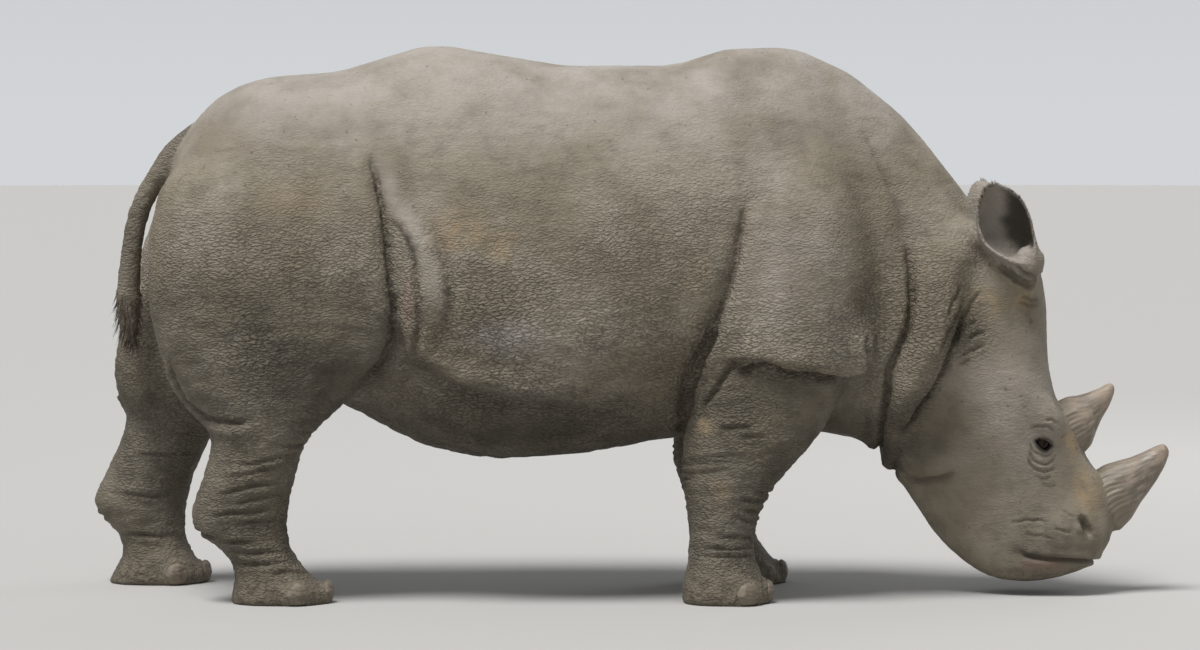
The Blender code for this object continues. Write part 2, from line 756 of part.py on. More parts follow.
def finished(pieces):
    """Colours the pieces, hangs each from one empty and centres the animal over the origin."""
    finishes = {
        "horn": material("horn", HORN_TAN, 0.55),
        "nail": material("nail", NAIL_BROWN, 0.6),
        "eye": material("eye", EYE_BLACK, 0.1),
        "skin": material("skin", SKIN_GREY, 0.85),
    }
    points = np.array([vertex.co for piece in pieces for vertex in piece.data.vertices])
    middle = Vector((points.min(axis=0) + points.max(axis=0)) / 2)
    middle.z = 0.0
    scale = SHOULDER_HEIGHT / DRAWN_SHOULDER_HEIGHT
    rhinoceros = object_of("rhinoceros", None)
    for piece in pieces:
        corners = [Vector(corner) for corner in piece.bound_box]
        own_middle = (corners[0] + corners[6]) / 2
        piece.data.transform(Matrix.Scale(scale, 4) @ Matrix.Translation(-own_middle))
        piece.location = scale * (own_middle - middle)
        piece.parent = rhinoceros
        kind = piece.name.split("_")[0]
        piece.data.materials.clear()
        piece.data.materials.append(finishes.get(kind, finishes["skin"]))
        piece.data.shade_smooth()
        piece.data.set_sharp_from_angle(angle=math.radians(SHARP_ANGLE))


def main():
    for obj in list(bpy.data.objects):
        bpy.data.objects.remove(obj)
    flesh = whole_flesh()
    surface = surface_of(flesh)
    pieces = parted(flesh)
    fitted = {
        "head": [horn("horn_front", HORN_FRONT), horn("horn_rear", HORN_REAR)],
        "trunk": [tube("tail", [(x, 0.0, z, radius) for x, z, radius in eased(TAIL, 18)])],
    }
    for word, side in SIDES:
        fitted["head"] += [ear(f"ear_{word}", side), eye(f"eye_{word}", surface, side)]
        for which, place, step in (
            ("fore", FORE_FOOT, FORE_STEP),
            ("hind", HIND_FOOT, HIND_STEP),
        ):
            centre = Vector((place[0] + step_ahead(step, NAIL_HEIGHT, side), place[1]))
            fitted[f"{which}_leg_{word}"] = [
                nail(f"nail_{which}_{word}_{k}", surface, centre, turn, side)
                for k, turn in enumerate(NAIL_TURNS, 1)
            ]
    for host, guests in fitted.items():
        for guest in guests:
            pieces[host] = sunk(pieces[host], guest)
            pieces[guest.name] = guest
    for name, piece in pieces.items():
        piece.name = name
    finished(list(pieces.values()))


main()
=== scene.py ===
import math

import bmesh
import bpy
import numpy as np
from mathutils import Matrix, Vector
from mathutils.bvhtree import BVHTree


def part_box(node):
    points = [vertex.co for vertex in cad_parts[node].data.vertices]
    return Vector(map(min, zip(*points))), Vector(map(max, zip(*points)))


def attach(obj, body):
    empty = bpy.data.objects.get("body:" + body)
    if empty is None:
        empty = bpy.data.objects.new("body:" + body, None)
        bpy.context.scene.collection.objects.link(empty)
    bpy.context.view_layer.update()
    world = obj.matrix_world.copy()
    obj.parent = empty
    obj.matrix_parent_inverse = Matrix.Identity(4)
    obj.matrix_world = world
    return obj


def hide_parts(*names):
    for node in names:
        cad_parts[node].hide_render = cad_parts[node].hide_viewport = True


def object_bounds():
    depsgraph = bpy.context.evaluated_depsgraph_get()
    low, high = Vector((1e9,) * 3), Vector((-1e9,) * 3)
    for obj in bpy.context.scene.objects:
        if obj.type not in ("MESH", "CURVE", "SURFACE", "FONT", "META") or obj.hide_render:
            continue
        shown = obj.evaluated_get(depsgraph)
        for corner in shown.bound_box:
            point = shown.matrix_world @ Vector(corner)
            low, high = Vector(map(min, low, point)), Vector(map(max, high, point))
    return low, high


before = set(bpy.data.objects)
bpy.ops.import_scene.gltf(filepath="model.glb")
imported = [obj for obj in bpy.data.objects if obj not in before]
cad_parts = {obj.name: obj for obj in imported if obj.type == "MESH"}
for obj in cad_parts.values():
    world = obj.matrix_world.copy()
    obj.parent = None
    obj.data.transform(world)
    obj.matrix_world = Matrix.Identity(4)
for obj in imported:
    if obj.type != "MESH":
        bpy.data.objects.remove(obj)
cad_low, cad_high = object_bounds()
SIDES = {"right": -1, "left": 1}

# ---------------------------------------------------------------- Studio
# A wide pale floor under a soft overhead light, with a broad lamp beside the lens and another
# beyond the head. The lens stands a little below the shoulder, square to the right side.

LENS_PLACE = (-0.078, -12.618, 1.456)
LENS_DIP = 2.933
SENSOR, FOCAL = 36.0, 125.5
FLOOR_RADIUS = 70.0
FLOOR_PALE, FLOOR_SHADE = (0.43, 0.42, 0.405), 0.97
SKY_PALE, SKY_STRENGTH, SKY_TOP = (0.95, 0.975, 1.0), (0.68, 0.32), 0.30
OVERHEAD_STRENGTH, OVERHEAD_SPREAD, OVERHEAD_LEAN = 3.7, 24.0, (17.0, -14.0)


def linked(name, data):
    """A new object in the scene that shows the data."""
    made = bpy.data.objects.new(name, data)
    bpy.context.scene.collection.objects.link(made)
    return made


def meshed(shape, name):
    """A mesh of the shape, which is then done with."""
    mesh = bpy.data.meshes.new(name)
    shape.to_mesh(mesh)
    shape.free()
    return mesh


def feed(tree, socket, value):
    """Links an output to the socket or sets the socket's own value; a colour gets its alpha."""
    if isinstance(value, bpy.types.NodeSocket):
        tree.links.new(value, socket)
    elif socket.type == "RGBA":
        socket.default_value = (*value, 1.0)
    else:
        socket.default_value = value


def node_of(tree, kind, fed=None, **settings):
    """A new node with its settings, and with its inputs fed by name or by number."""
    made = tree.nodes.new(kind)
    for key, value in settings.items():
        setattr(made, key, value)
    for key, value in (fed or {}).items():
        feed(tree, made.inputs[key], value)
    return made


def mixed(tree, share, first, second):
    """The two colours mixed by the share; each may be a socket or a plain colour."""
    return node_of(tree, "ShaderNodeMix", {0: share, 6: first, 7: second},
                   data_type="RGBA").outputs[2]


def material_named(name):
    """A new material: its node tree and its Principled shader's inputs."""
    made = bpy.data.materials.new(name)
    made.use_nodes = True
    return made, made.node_tree, made.node_tree.nodes["Principled BSDF"].inputs


def lamp(name, place, aim, size, watts, tint):
    """A round lamp that faces the aim."""
    data = bpy.data.lights.new(name, "AREA")
    data.shape, data.size, data.energy, data.color = "DISK", size, watts, tint
    made = linked(name, data)
    made.location = place
    made.rotation_euler = (Vector(aim) - Vector(place)).to_track_quat("-Z", "Y").to_euler()


camera = linked("camera", bpy.data.cameras.new("camera"))
camera.data.sensor_width, camera.data.lens = SENSOR, FOCAL
camera.data.clip_end = 300.0
camera.location = LENS_PLACE
camera.rotation_euler = (math.radians(90.0 - LENS_DIP), 0.0, 0.0)
bpy.context.scene.camera = camera

middle = (cad_low + cad_high) / 2
lamp("window", (-3.0, -8.0, 4.6), middle, size=5.0, watts=40.0, tint=(1.0, 0.98, 0.95))
lamp("rim", (4.5, 5.0, 4.0), middle, size=3.5, watts=60.0, tint=(0.95, 0.98, 1.0))
overhead = linked("overhead", bpy.data.lights.new("overhead", "SUN"))
overhead.data.energy, overhead.data.angle = OVERHEAD_STRENGTH, math.radians(OVERHEAD_SPREAD)
overhead.rotation_euler = (*map(math.radians, OVERHEAD_LEAN), 0.0)

world = bpy.data.worlds.new("studio")
bpy.context.scene.world = world
world.use_nodes = True
sky = world.node_tree
looking = node_of(sky, "ShaderNodeTexCoord").outputs["Generated"]
upness = node_of(sky, "ShaderNodeSeparateXYZ", {0: looking}).outputs["Z"]
fade_up = node_of(sky, "ShaderNodeMapRange", {
    "Value": upness, "From Max": SKY_TOP, "To Min": SKY_STRENGTH[0], "To Max": SKY_STRENGTH[1]})
feed(sky, sky.nodes["Background"].inputs["Color"], SKY_PALE)
feed(sky, sky.nodes["Background"].inputs["Strength"], fade_up.outputs[0])
bpy.context.scene.view_settings.view_transform = "Standard"

shape = bmesh.new()
bmesh.ops.create_circle(shape, cap_ends=True, segments=96, radius=FLOOR_RADIUS)
floor = linked("floor", meshed(shape, "floor"))
floor_paint, tree, paint = material_named("floor_paint")
cloud = node_of(tree, "ShaderNodeTexNoise", {"Scale": 3.0}).outputs["Fac"]
floor_shade = tuple(FLOOR_SHADE * part for part in FLOOR_PALE)
feed(tree, paint["Base Color"], mixed(tree, cloud, FLOOR_PALE, floor_shade))
feed(tree, paint["Roughness"], 0.9)
floor.data.materials.append(floor_paint)

# ---------------------------------------------------------------- Hide
# One thick, nearly bare grey hide wraps trunk, neck, head, legs, tail and ears without a seam.
# It is laid over the flesh: the parts fuse across their thin cuts, facets relax away, and the
# folds, lids, lips and rings are pressed in afterwards where the animal carries them.

FLESH = ["trunk", "neck", "head", "tail"]
FLESH += [f"{part}_{side}" for part in ("fore_leg", "hind_leg", "ear") for side in SIDES]
HIDE_PIECES = [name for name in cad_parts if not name.startswith("horn")]
HIDE_SWELL = 0.0032
HIDE_VOXEL = 0.0072
HIDE_TRIANGLES = 197000
HORN_GROWS = Vector((0.883, 0.0, 0.469))
HORN_PLUG = 0.26
HORNS = ("horn_front", "horn_rear")
WELD = 0.00002


def points_of(mesh, kind="co"):
    """The mesh's points as rows of x, y and z, or the way each faces with the kind "normal"."""
    found = np.empty(len(mesh.vertices) * 3, np.float32)
    mesh.vertices.foreach_get(kind, found)
    return found.reshape(-1, 3).astype(float)


def set_points(mesh, points):
    """Puts the mesh's points where the rows say."""
    mesh.vertices.foreach_set("co", points.astype(np.float32).ravel())
    mesh.update()


def worked_in(piece):
    """The piece with its modifier worked into its mesh."""
    bpy.context.view_layer.update()
    finished = bpy.data.meshes.new_from_object(
        piece.evaluated_get(bpy.context.evaluated_depsgraph_get()))
    piece.modifiers.clear()
    old, piece.data = piece.data, finished
    bpy.data.meshes.remove(old)
    return piece


def with_modifier(piece, kind, **settings):
    """The piece changed by one modifier."""
    modifier = piece.modifiers.new(kind.lower(), kind)
    for key, value in settings.items():
        setattr(modifier, key, value)
    return worked_in(piece)


def welded(name):
    """The shape of one of the frame's nodes, its loose triangles joined."""
    shape = bmesh.new()
    shape.from_mesh(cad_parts[name].data)
    bmesh.ops.remove_doubles(shape, verts=shape.verts, dist=WELD)
    return shape


def horn_plug(shape, name):
    """Adds a horn's foot, cut off just above the hide, so that the hide closes under it."""
    foot = welded(name)
    heights = [vertex.co.dot(HORN_GROWS) for vertex in foot.verts]
    level = min(heights) + HORN_PLUG * (max(heights) - min(heights))
    everything = foot.verts[:] + foot.edges[:] + foot.faces[:]
    bmesh.ops.bisect_plane(foot, geom=everything, plane_co=HORN_GROWS * level,
                           plane_no=HORN_GROWS, clear_outer=True)
    bmesh.ops.holes_fill(foot, edges=foot.edges, sides=0)
    spare = meshed(foot, "spare")
    shape.from_mesh(spare)
    bpy.data.meshes.remove(spare)


def fused_flesh():
    """Every part of the flesh, grown by the swell and remeshed into one closed body."""
    shape = bmesh.new()
    for name in HIDE_PIECES:
        shape.from_mesh(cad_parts[name].data)
    for name in HORNS:
        horn_plug(shape, name)
    bmesh.ops.remove_doubles(shape, verts=shape.verts, dist=WELD)
    shape.normal_update()
    for vertex in shape.verts:
        vertex.co += HIDE_SWELL * vertex.normal
    return with_modifier(linked("hide", meshed(shape, "hide")), "REMESH", mode="VOXEL",
                         voxel_size=HIDE_VOXEL)


hide = fused_flesh()

# Which part of the flesh each point of the hide covers.
flesh_points, flesh_faces, flesh_part = [], [], []
for name in HIDE_PIECES:
    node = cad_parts[name].data
    first = len(flesh_points)
    flesh_points += [vertex.co.copy() for vertex in node.vertices]
    flesh_faces += [[first + corner for corner in face.vertices] for face in node.polygons]
    flesh_part += [name.split("_")[0]] * len(node.polygons)
flesh_tree = BVHTree.FromPolygons(flesh_points, flesh_faces)


def part_under(points):
    """For each point, the first word of the name of the flesh part that lies under it."""
    return np.array([flesh_part[flesh_tree.find_nearest(point)[2]] for point in points])


def grouped(piece, name, weights):
    """A vertex group on the piece from an array of weights, in twenty even steps."""
    group = piece.vertex_groups.new(name=name)
    steps = np.round(np.clip(weights, 0.0, 1.0) * 20).astype(int)
    for step in range(1, 21):
        members = np.nonzero(steps == step)[0]
        if len(members):
            group.add(members.tolist(), step / 20, "REPLACE")
    return group.name


def softened(mesh, values, rounds):
    """The values of the mesh's points, spread evenly over their neighbours round by round."""
    ends = np.empty(len(mesh.edges) * 2, np.int32)
    mesh.edges.foreach_get("vertices", ends)
    a, b = ends[0::2], ends[1::2]
    ties = np.bincount(ends, minlength=len(values))
    for _ in range(rounds):
        around = (np.bincount(a, values[b], len(values)) + np.bincount(b, values[a], len(values)))
        values = 0.5 * values + 0.5 * around / np.maximum(ties, 1)
    return values


RELAX = {"trunk": 0.85, "neck": 0.75, "head": 0.30, "fore": 0.40, "hind": 0.45, "tail": 0.20,
         "ear": 0.10, "eye": 0.30, "nail": 0.30}
RELAX_ROUNDS = 46
SOLE_FLAT = 0.0035

parts = part_under(points_of(hide.data))
relax = softened(hide.data, np.array([RELAX[part] for part in parts]), 12)
with_modifier(hide, "SMOOTH", factor=0.5, iterations=RELAX_ROUNDS,
              vertex_group=grouped(hide, "relax", relax))
hide.vertex_groups.clear()
points, outward = points_of(hide.data), points_of(hide.data, "normal")
points -= outward * HIDE_SWELL
points[:, 2] = np.where(points[:, 2] < SOLE_FLAT, 0.0, points[:, 2])
set_points(hide.data, points)

# Finer weave of faces where the small features sit: round the eyes, on the muzzle, on the ears.
EYE_CENTRE = {side: sum(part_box(f"eye_{side}"), Vector()) / 2 for side in SIDES}
EYE_RADIUS = (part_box("eye_right")[1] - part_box("eye_right")[0]).z / 2
EYE_ZONE, LID_ZONE = 0.085, 0.045
MUZZLE_BACK, MUZZLE_TOP = 1.10, 0.30
EAR_LOW, EAR_BACK, EAR_INNER = 0.99, 1.02, 0.09


def by_an_eye(at, reach):
    """Whether the place lies within reach of an eye."""
    return any((at - EYE_CENTRE[side]).length < reach for side in SIDES)


def refined(piece, wanted):
    """The piece with the wanted faces split in four."""
    shape = bmesh.new()
    shape.from_mesh(piece.data)
    faces = [face for face in shape.faces if wanted(face.calc_center_median())]
    edges = list({edge for face in faces for edge in face.edges})
    bmesh.ops.subdivide_edges(shape, edges=edges, cuts=1, use_grid_fill=True, smooth=0.0)
    shape.to_mesh(piece.data)
    shape.free()


refined(hide, lambda at: (at.x > MUZZLE_BACK and at.z < MUZZLE_TOP) or by_an_eye(at, EYE_ZONE)
        or (at.z > EAR_LOW and at.x > EAR_BACK and abs(at.y) > EAR_INNER))
refined(hide, lambda at: by_an_eye(at, LID_ZONE))
with_modifier(hide, "SMOOTH", factor=0.5, iterations=3)

points, outward = points_of(hide.data), points_of(hide.data, "normal")
hide_tree = BVHTree.FromObject(hide, bpy.context.evaluated_depsgraph_get())
folds_laid = []
FOLD_WANDER = 0.0014


def spline(knots, step):
    """Points a step apart on a smooth line through the knots."""
    knots = np.array(knots, float)
    ends = np.vstack([2 * knots[0] - knots[1], knots, 2 * knots[-1] - knots[-2]])
    line = []
    for a, b, c, d in zip(ends[:-3], ends[1:-2], ends[2:-1], ends[3:]):
        count = max(2, int(np.linalg.norm(c - b) / step))
        t = np.linspace(0, 1, count, endpoint=False)[:, None]
        line.append(0.5 * (2 * b + (c - a) * t + (2 * a - 5 * b + 4 * c - d) * t ** 2
                           + (3 * b - a - 3 * c + d) * t ** 3))
    return np.vstack(line + [knots[-1:]])


def laid(line, side, step=0.008):
    """A line drawn in side view, as x and z, laid on that side of the hide, where it wanders a
    little as skin does."""
    found = []
    drawn = spline(line, step)
    run = step * np.arange(len(drawn))
    wander = FOLD_WANDER * (np.sin(71 * run + 40 * drawn[0, 0] + side) + np.sin(173 * run + side))
    heading = np.gradient(drawn, axis=0)
    heading /= np.linalg.norm(heading, axis=1)[:, None] + 1e-9
    for x, z in drawn + wander[:, None] * heading[:, ::-1] * (-1, 1):
        hit = hide_tree.ray_cast(Vector((x, 2.0 * side, z)), Vector((0.0, -side, 0.0)))[0]
        if hit is not None:
            found.append(hit)
    return np.array(found)


def beside(path, reach):
    """The hide's points within reach of the path: which, how far, on which side and how far along.
    The side is positive to the left of the way the path runs, seen with x to the right."""
    low, high = path.min(0) - reach, path.max(0) + reach
    near = np.nonzero(((points > low) & (points < high)).all(1))[0]
    if not len(near):
        return near, near, near, near
    along = np.linspace(0, 1, len(path))
    heading = np.gradient(path, axis=0)
    heading /= np.linalg.norm(heading, axis=1)[:, None] + 1e-9
    best = np.empty(len(near), int)
    for start in range(0, len(near), 4000):
        some = points[near[start:start + 4000]]
        best[start:start + 4000] = (((some[:, None] - path[None]) ** 2).sum(2)).argmin(1)
    apart = points[near] - path[best]
    run = heading[best]
    inline = (apart * run).sum(1)
    ended = ((best == 0) & (inline < 0)) | ((best == len(path) - 1) & (inline > 0))
    distance = np.where(ended, np.linalg.norm(apart, axis=1),
                        np.sqrt(np.maximum((apart ** 2).sum(1) - inline ** 2, 0)))
    turn = np.sign(run[:, 0] * apart[:, 2] - run[:, 2] * apart[:, 0])
    close = distance < reach
    return near[close], distance[close], turn[close], along[best][close]


def eased(share):
    """The share, kept within 0 and 1, with a soft start and end."""
    share = np.clip(share, 0.0, 1.0)
    return share * share * (3 - 2 * share)


def fold(line, depth, width, lip=0.0, lip_width=0.03, lip_side=0, lean=0.0, fade=0.2,
         dark=1.0, paths=None):
    """Presses a crease along the line on each side and raises a lip beside it: on the left of the
    line (1), on the right (-1) or on both (0). The lip leans over the crease by the lean, all of
    it fades over a share of each end, and one value says how dark the crease's painted shade is."""
    for path in paths or [laid(line, side) for side in SIDES.values()]:
        near, distance, turn, along = beside(path, max(3 * width, 2.6 * lip_width if lip else 0))
        ends = eased(along / fade) * eased((1 - along) / fade) if fade else 1.0
        groove = np.exp(-(distance / width) ** 2)
        swell = np.exp(-((distance - lip_width * 0.9) / (lip_width * 0.75)) ** 2)
        if lip_side:
            swell *= eased(0.5 + 0.5 * turn * lip_side * distance / (0.35 * width))
        points[near] += outward[near] * ((lip * swell - depth * groove) * ends)[:, None]
        if lean:
            centre = path[np.clip((along * (len(path) - 1)).round().astype(int), 0, len(path) - 1)]
            back = centre - points[near]
            back /= np.linalg.norm(back, axis=1)[:, None] + 1e-6
            points[near] += back * (lean * swell * ends)[:, None]
        folds_laid.append((path, width, dark, fade))


def slung(line, steps=10):
    """The line laid down the right side, on under the throat and up the left side."""
    right, left = (laid(line, side) for side in (-1, 1))
    under = []
    for share in np.linspace(0, 1, steps + 2)[1:-1]:
        x, y = ((1 - share) * right[-1] + share * left[-1])[:2]
        hit = hide_tree.ray_cast(Vector((x, y, 0.0)), Vector((0.0, 0.0, 1.0)))[0]
        if hit is not None:
            under.append(hit)
    return np.vstack([right, *under, left[::-1]])


# The great folds, as lines seen from the right, x forward and z up, in metres.
THIGH_CREASE = ((-0.757, 1.36), (-0.741, 1.28), (-0.712, 1.13), (-0.695, 0.97), (-0.684, 0.87),
                (-0.694, 0.78), (-0.735, 0.71), (-0.82, 0.62))
FLANK_CREASE = ((-0.702, 1.155), (-0.650, 1.095), (-0.622, 1.035), (-0.612, 0.93),
                (-0.606, 0.84), (-0.620, 0.74), (-0.634, 0.65))
FLANK_ROLL_EDGE = ((-0.600, 1.16), (-0.547, 1.07), (-0.518, 0.96), (-0.516, 0.87),
                   (-0.534, 0.78))
THIGH_HOLLOW = ((-0.690, 0.860), (-0.673, 0.758), (-0.650, 0.685), (-0.626, 0.635))
FLANK_ROLL = ((-0.720, 1.304), (-0.677, 1.187), (-0.624, 1.106), (-0.578, 1.010), (-0.561, 0.908),
              (-0.558, 0.812))
SHOULDER_FOLD = ((0.356, 1.22), (0.336, 1.11), (0.317, 0.99), (0.288, 0.90), (0.249, 0.80),
                 (0.210, 0.73), (0.181, 0.65))
ELBOW_CREASE = ((0.317, 0.689), (0.395, 0.720), (0.462, 0.699), (0.540, 0.690), (0.627, 0.679),
                (0.705, 0.690))
NECK_LINE = ((0.700, 1.42), (0.745, 1.31), (0.780, 1.225), (0.815, 1.14), (0.836, 1.057))
NECK_FOLD = ((0.830, 1.09), (0.842, 0.98), (0.845, 0.89), (0.834, 0.815), (0.805, 0.747),
             (0.781, 0.690), (0.776, 0.605), (0.765, 0.53))
CHEEK_FOLD = ((1.012, 0.870), (0.980, 0.801), (0.956, 0.751), (0.939, 0.697), (0.906, 0.641),
              (0.860, 0.57), (0.815, 0.50))
TEMPLE_FOLDS = (((0.935, 0.710), (0.962, 0.761), (1.006, 0.805), (1.050, 0.841)),
                ((0.947, 0.681), (0.986, 0.722), (1.036, 0.746), (1.075, 0.758)),
                ((0.932, 0.746), (0.956, 0.805), (0.985, 0.859), (1.006, 0.895)),
                ((0.967, 0.805), (1.006, 0.850), (1.035, 0.895), (1.065, 0.924)),
                ((0.952, 0.841), (0.970, 0.895), (0.997, 0.939)),
                ((0.962, 0.700), (0.995, 0.704), (1.025, 0.716)),
                ((1.000, 0.770), (1.035, 0.790), (1.075, 0.802)))
LOW_FLANK = ((-0.656, 0.772), (-0.627, 0.713), (-0.574, 0.675), (-0.458, 0.625), (-0.282, 0.587),
             (-0.077, 0.581))
ARMPIT = ((0.271, 0.831), (0.233, 0.755), (0.207, 0.702), (0.181, 0.631), (0.169, 0.534),
          (0.165, 0.480))
BEHIND_ELBOW = ((0.388, 0.744), (0.324, 0.727), (0.300, 0.694), (0.268, 0.644), (0.233, 0.595),
                (0.210, 0.536))
FLAP_FRONT = ((0.708, 0.800), (0.711, 0.745), (0.709, 0.690))
BUTTOCK_FOLD = ((-1.355, 0.739), (-1.329, 0.651), (-1.291, 0.592), (-1.238, 0.554),
                (-1.180, 0.539), (-1.083, 0.545))
FAR_BUTTOCK_FOLD = ((-1.560, 0.600), (-1.547, 0.568), (-1.491, 0.543), (-1.432, 0.502),
                    (-1.360, 0.480))
NECK_ROLL = ((0.905, 0.800), (0.878, 0.720), (0.847, 0.640), (0.822, 0.575), (0.803, 0.520))
JOWL_CREASE = ((0.782, 0.372), (0.832, 0.352), (0.901, 0.349), (0.952, 0.361), (0.985, 0.385))

fold(THIGH_HOLLOW, 0.026, 0.0260, dark=0.6, fade=0.35)
fold(THIGH_CREASE, 0.020, 0.0080, 0.015, 0.045, -1, lean=0.008, dark=1.2)
fold(FLANK_ROLL, -0.015, 0.0280, dark=0.0, fade=0.35)
fold(FLANK_CREASE, 0.015, 0.0080, 0.008, 0.030, 1)
fold(FLANK_ROLL_EDGE, 0.012, 0.012, 0.012, 0.030, -1, dark=0.35, fade=0.35)
fold(SHOULDER_FOLD, 0.013, 0.0085, 0.012, 0.045, 1, lean=0.004)
fold(LOW_FLANK, 0.026, 0.0340, 0.020, 0.055, 1, dark=0.40)
fold(ARMPIT, 0.034, 0.0150, dark=1.4, fade=0.12)
fold(BEHIND_ELBOW, 0.013, 0.0075, 0.006, 0.020, 0)
fold(ELBOW_CREASE, 0.030, 0.0125, 0.027, 0.034, 1, lean=0.016, fade=0.1, dark=1.2)
fold(FLAP_FRONT, 0.012, 0.0090, 0.010, 0.026, -1, dark=0.45)
fold(None, 0.014, 0.0085, 0.014, 0.028, -1,
     paths=[laid(BUTTOCK_FOLD, -1), laid(FAR_BUTTOCK_FOLD, 1)])
fold(NECK_LINE, 0.004, 0.0060, dark=0.45)
fold(NECK_ROLL, -0.016, 0.0300, dark=0.0, fade=0.15, paths=[slung(NECK_ROLL)])
fold(NECK_FOLD, 0.022, 0.0085, 0.008, 0.030, 0, fade=0.1, paths=[slung(NECK_FOLD)])
fold(CHEEK_FOLD, 0.022, 0.0085, 0.008, 0.030, 0, fade=0.1, paths=[slung(CHEEK_FOLD)])
for line in TEMPLE_FOLDS:
    fold(line, 0.0065, 0.0052, 0.003, 0.012, 0, dark=0.75)
fold(JOWL_CREASE, 0.015, 0.0085, 0.009, 0.044, 1, dark=1.2, fade=0.3)
set_points(hide.data, points)


# Loose skin: shallow rolls that lie level across the legs, the tail and the belly, and a quieter
# unevenness everywhere else. A node tree moves the hide along its own normals.
ROLL_HEIGHT = {"trunk": 0.0022, "neck": 0.0022, "head": 0.0008, "fore": 0.0036, "hind": 0.0034,
               "tail": 0.0030, "ear": 0.0004, "eye": 0.0, "nail": 0.0}


def maths(tree, operation, *fed):
    """The result of a math node on sockets or plain values."""
    return node_of(tree, "ShaderNodeMath", dict(enumerate(fed)), operation=operation).outputs[0]


def vector_maths(tree, operation, *fed):
    """The result of a vector math node on sockets or plain vectors."""
    return node_of(tree, "ShaderNodeVectorMath", dict(enumerate(fed)),
                   operation=operation).outputs[0]


def tree_inputs(tree, **wanted):
    """Adds the geometry sockets and the named inputs to a node tree."""
    tree.interface.new_socket("Geometry", in_out="INPUT", socket_type="NodeSocketGeometry")
    for name, kind in wanted.items():
        tree.interface.new_socket(name, in_out="INPUT", socket_type="NodeSocket" + kind)
    tree.interface.new_socket("Geometry", in_out="OUTPUT", socket_type="NodeSocketGeometry")
    return tree.nodes.new("NodeGroupInput").outputs, tree.nodes.new("NodeGroupOutput").inputs


def grown(piece, tree, **values):
    """The piece with a node tree worked into its mesh; values are given by the inputs' names."""
    modifier = piece.modifiers.new(tree.name, "NODES")
    modifier.node_group = tree
    for socket in tree.interface.items_tree:
        if socket.in_out == "INPUT" and socket.name in values:
            modifier[socket.identifier] = values[socket.name]
    piece.data.update()
    return worked_in(piece)


loose_skin = bpy.data.node_groups.new("loose_skin", "GeometryNodeTree")
given, result = tree_inputs(loose_skin, Across="Float", Along="Float")
place = node_of(loose_skin, "GeometryNodeInputPosition").outputs[0]
outside = node_of(loose_skin, "GeometryNodeInputNormal").outputs[0]
height = node_of(loose_skin, "GeometryNodeInputNamedAttribute", {"Name": "roll"},
                 data_type="FLOAT").outputs["Attribute"]
stretch = node_of(loose_skin, "ShaderNodeCombineXYZ", {
    "X": given["Across"], "Y": given["Across"], "Z": given["Along"]}).outputs[0]
waves = node_of(loose_skin, "ShaderNodeTexNoise", {
    "Vector": vector_maths(loose_skin, "MULTIPLY", place, stretch), "Scale": 1.0,
    "Detail": 2.0}).outputs[0]
ridge = maths(loose_skin, "ABSOLUTE", maths(loose_skin, "SUBTRACT", waves, 0.5))
lift = maths(loose_skin, "MINIMUM", maths(loose_skin, "MULTIPLY", ridge, 7.0), 1.0)
lift = maths(loose_skin, "MULTIPLY", maths(loose_skin, "SUBTRACT", lift, 0.6), height)
move = node_of(loose_skin, "ShaderNodeVectorMath", {0: outside, "Scale": lift}, operation="SCALE")
shifted = node_of(loose_skin, "GeometryNodeSetPosition", {
    "Geometry": given["Geometry"], "Offset": move.outputs[0]})
feed(loose_skin, result["Geometry"], shifted.outputs[0])


def noted(mesh, name, values):
    """Stores one number for each point of the mesh."""
    attribute = mesh.attributes.get(name) or mesh.attributes.new(name, "FLOAT", "POINT")
    attribute.data.foreach_set("value", np.asarray(values, np.float32))


def near_eyes(at, reach):
    """One at the eyes, easing to nothing at the reach."""
    both = [np.linalg.norm(at - np.array(EYE_CENTRE[side]), axis=1) for side in SIDES]
    return 1 - eased(np.minimum(*both) / reach)


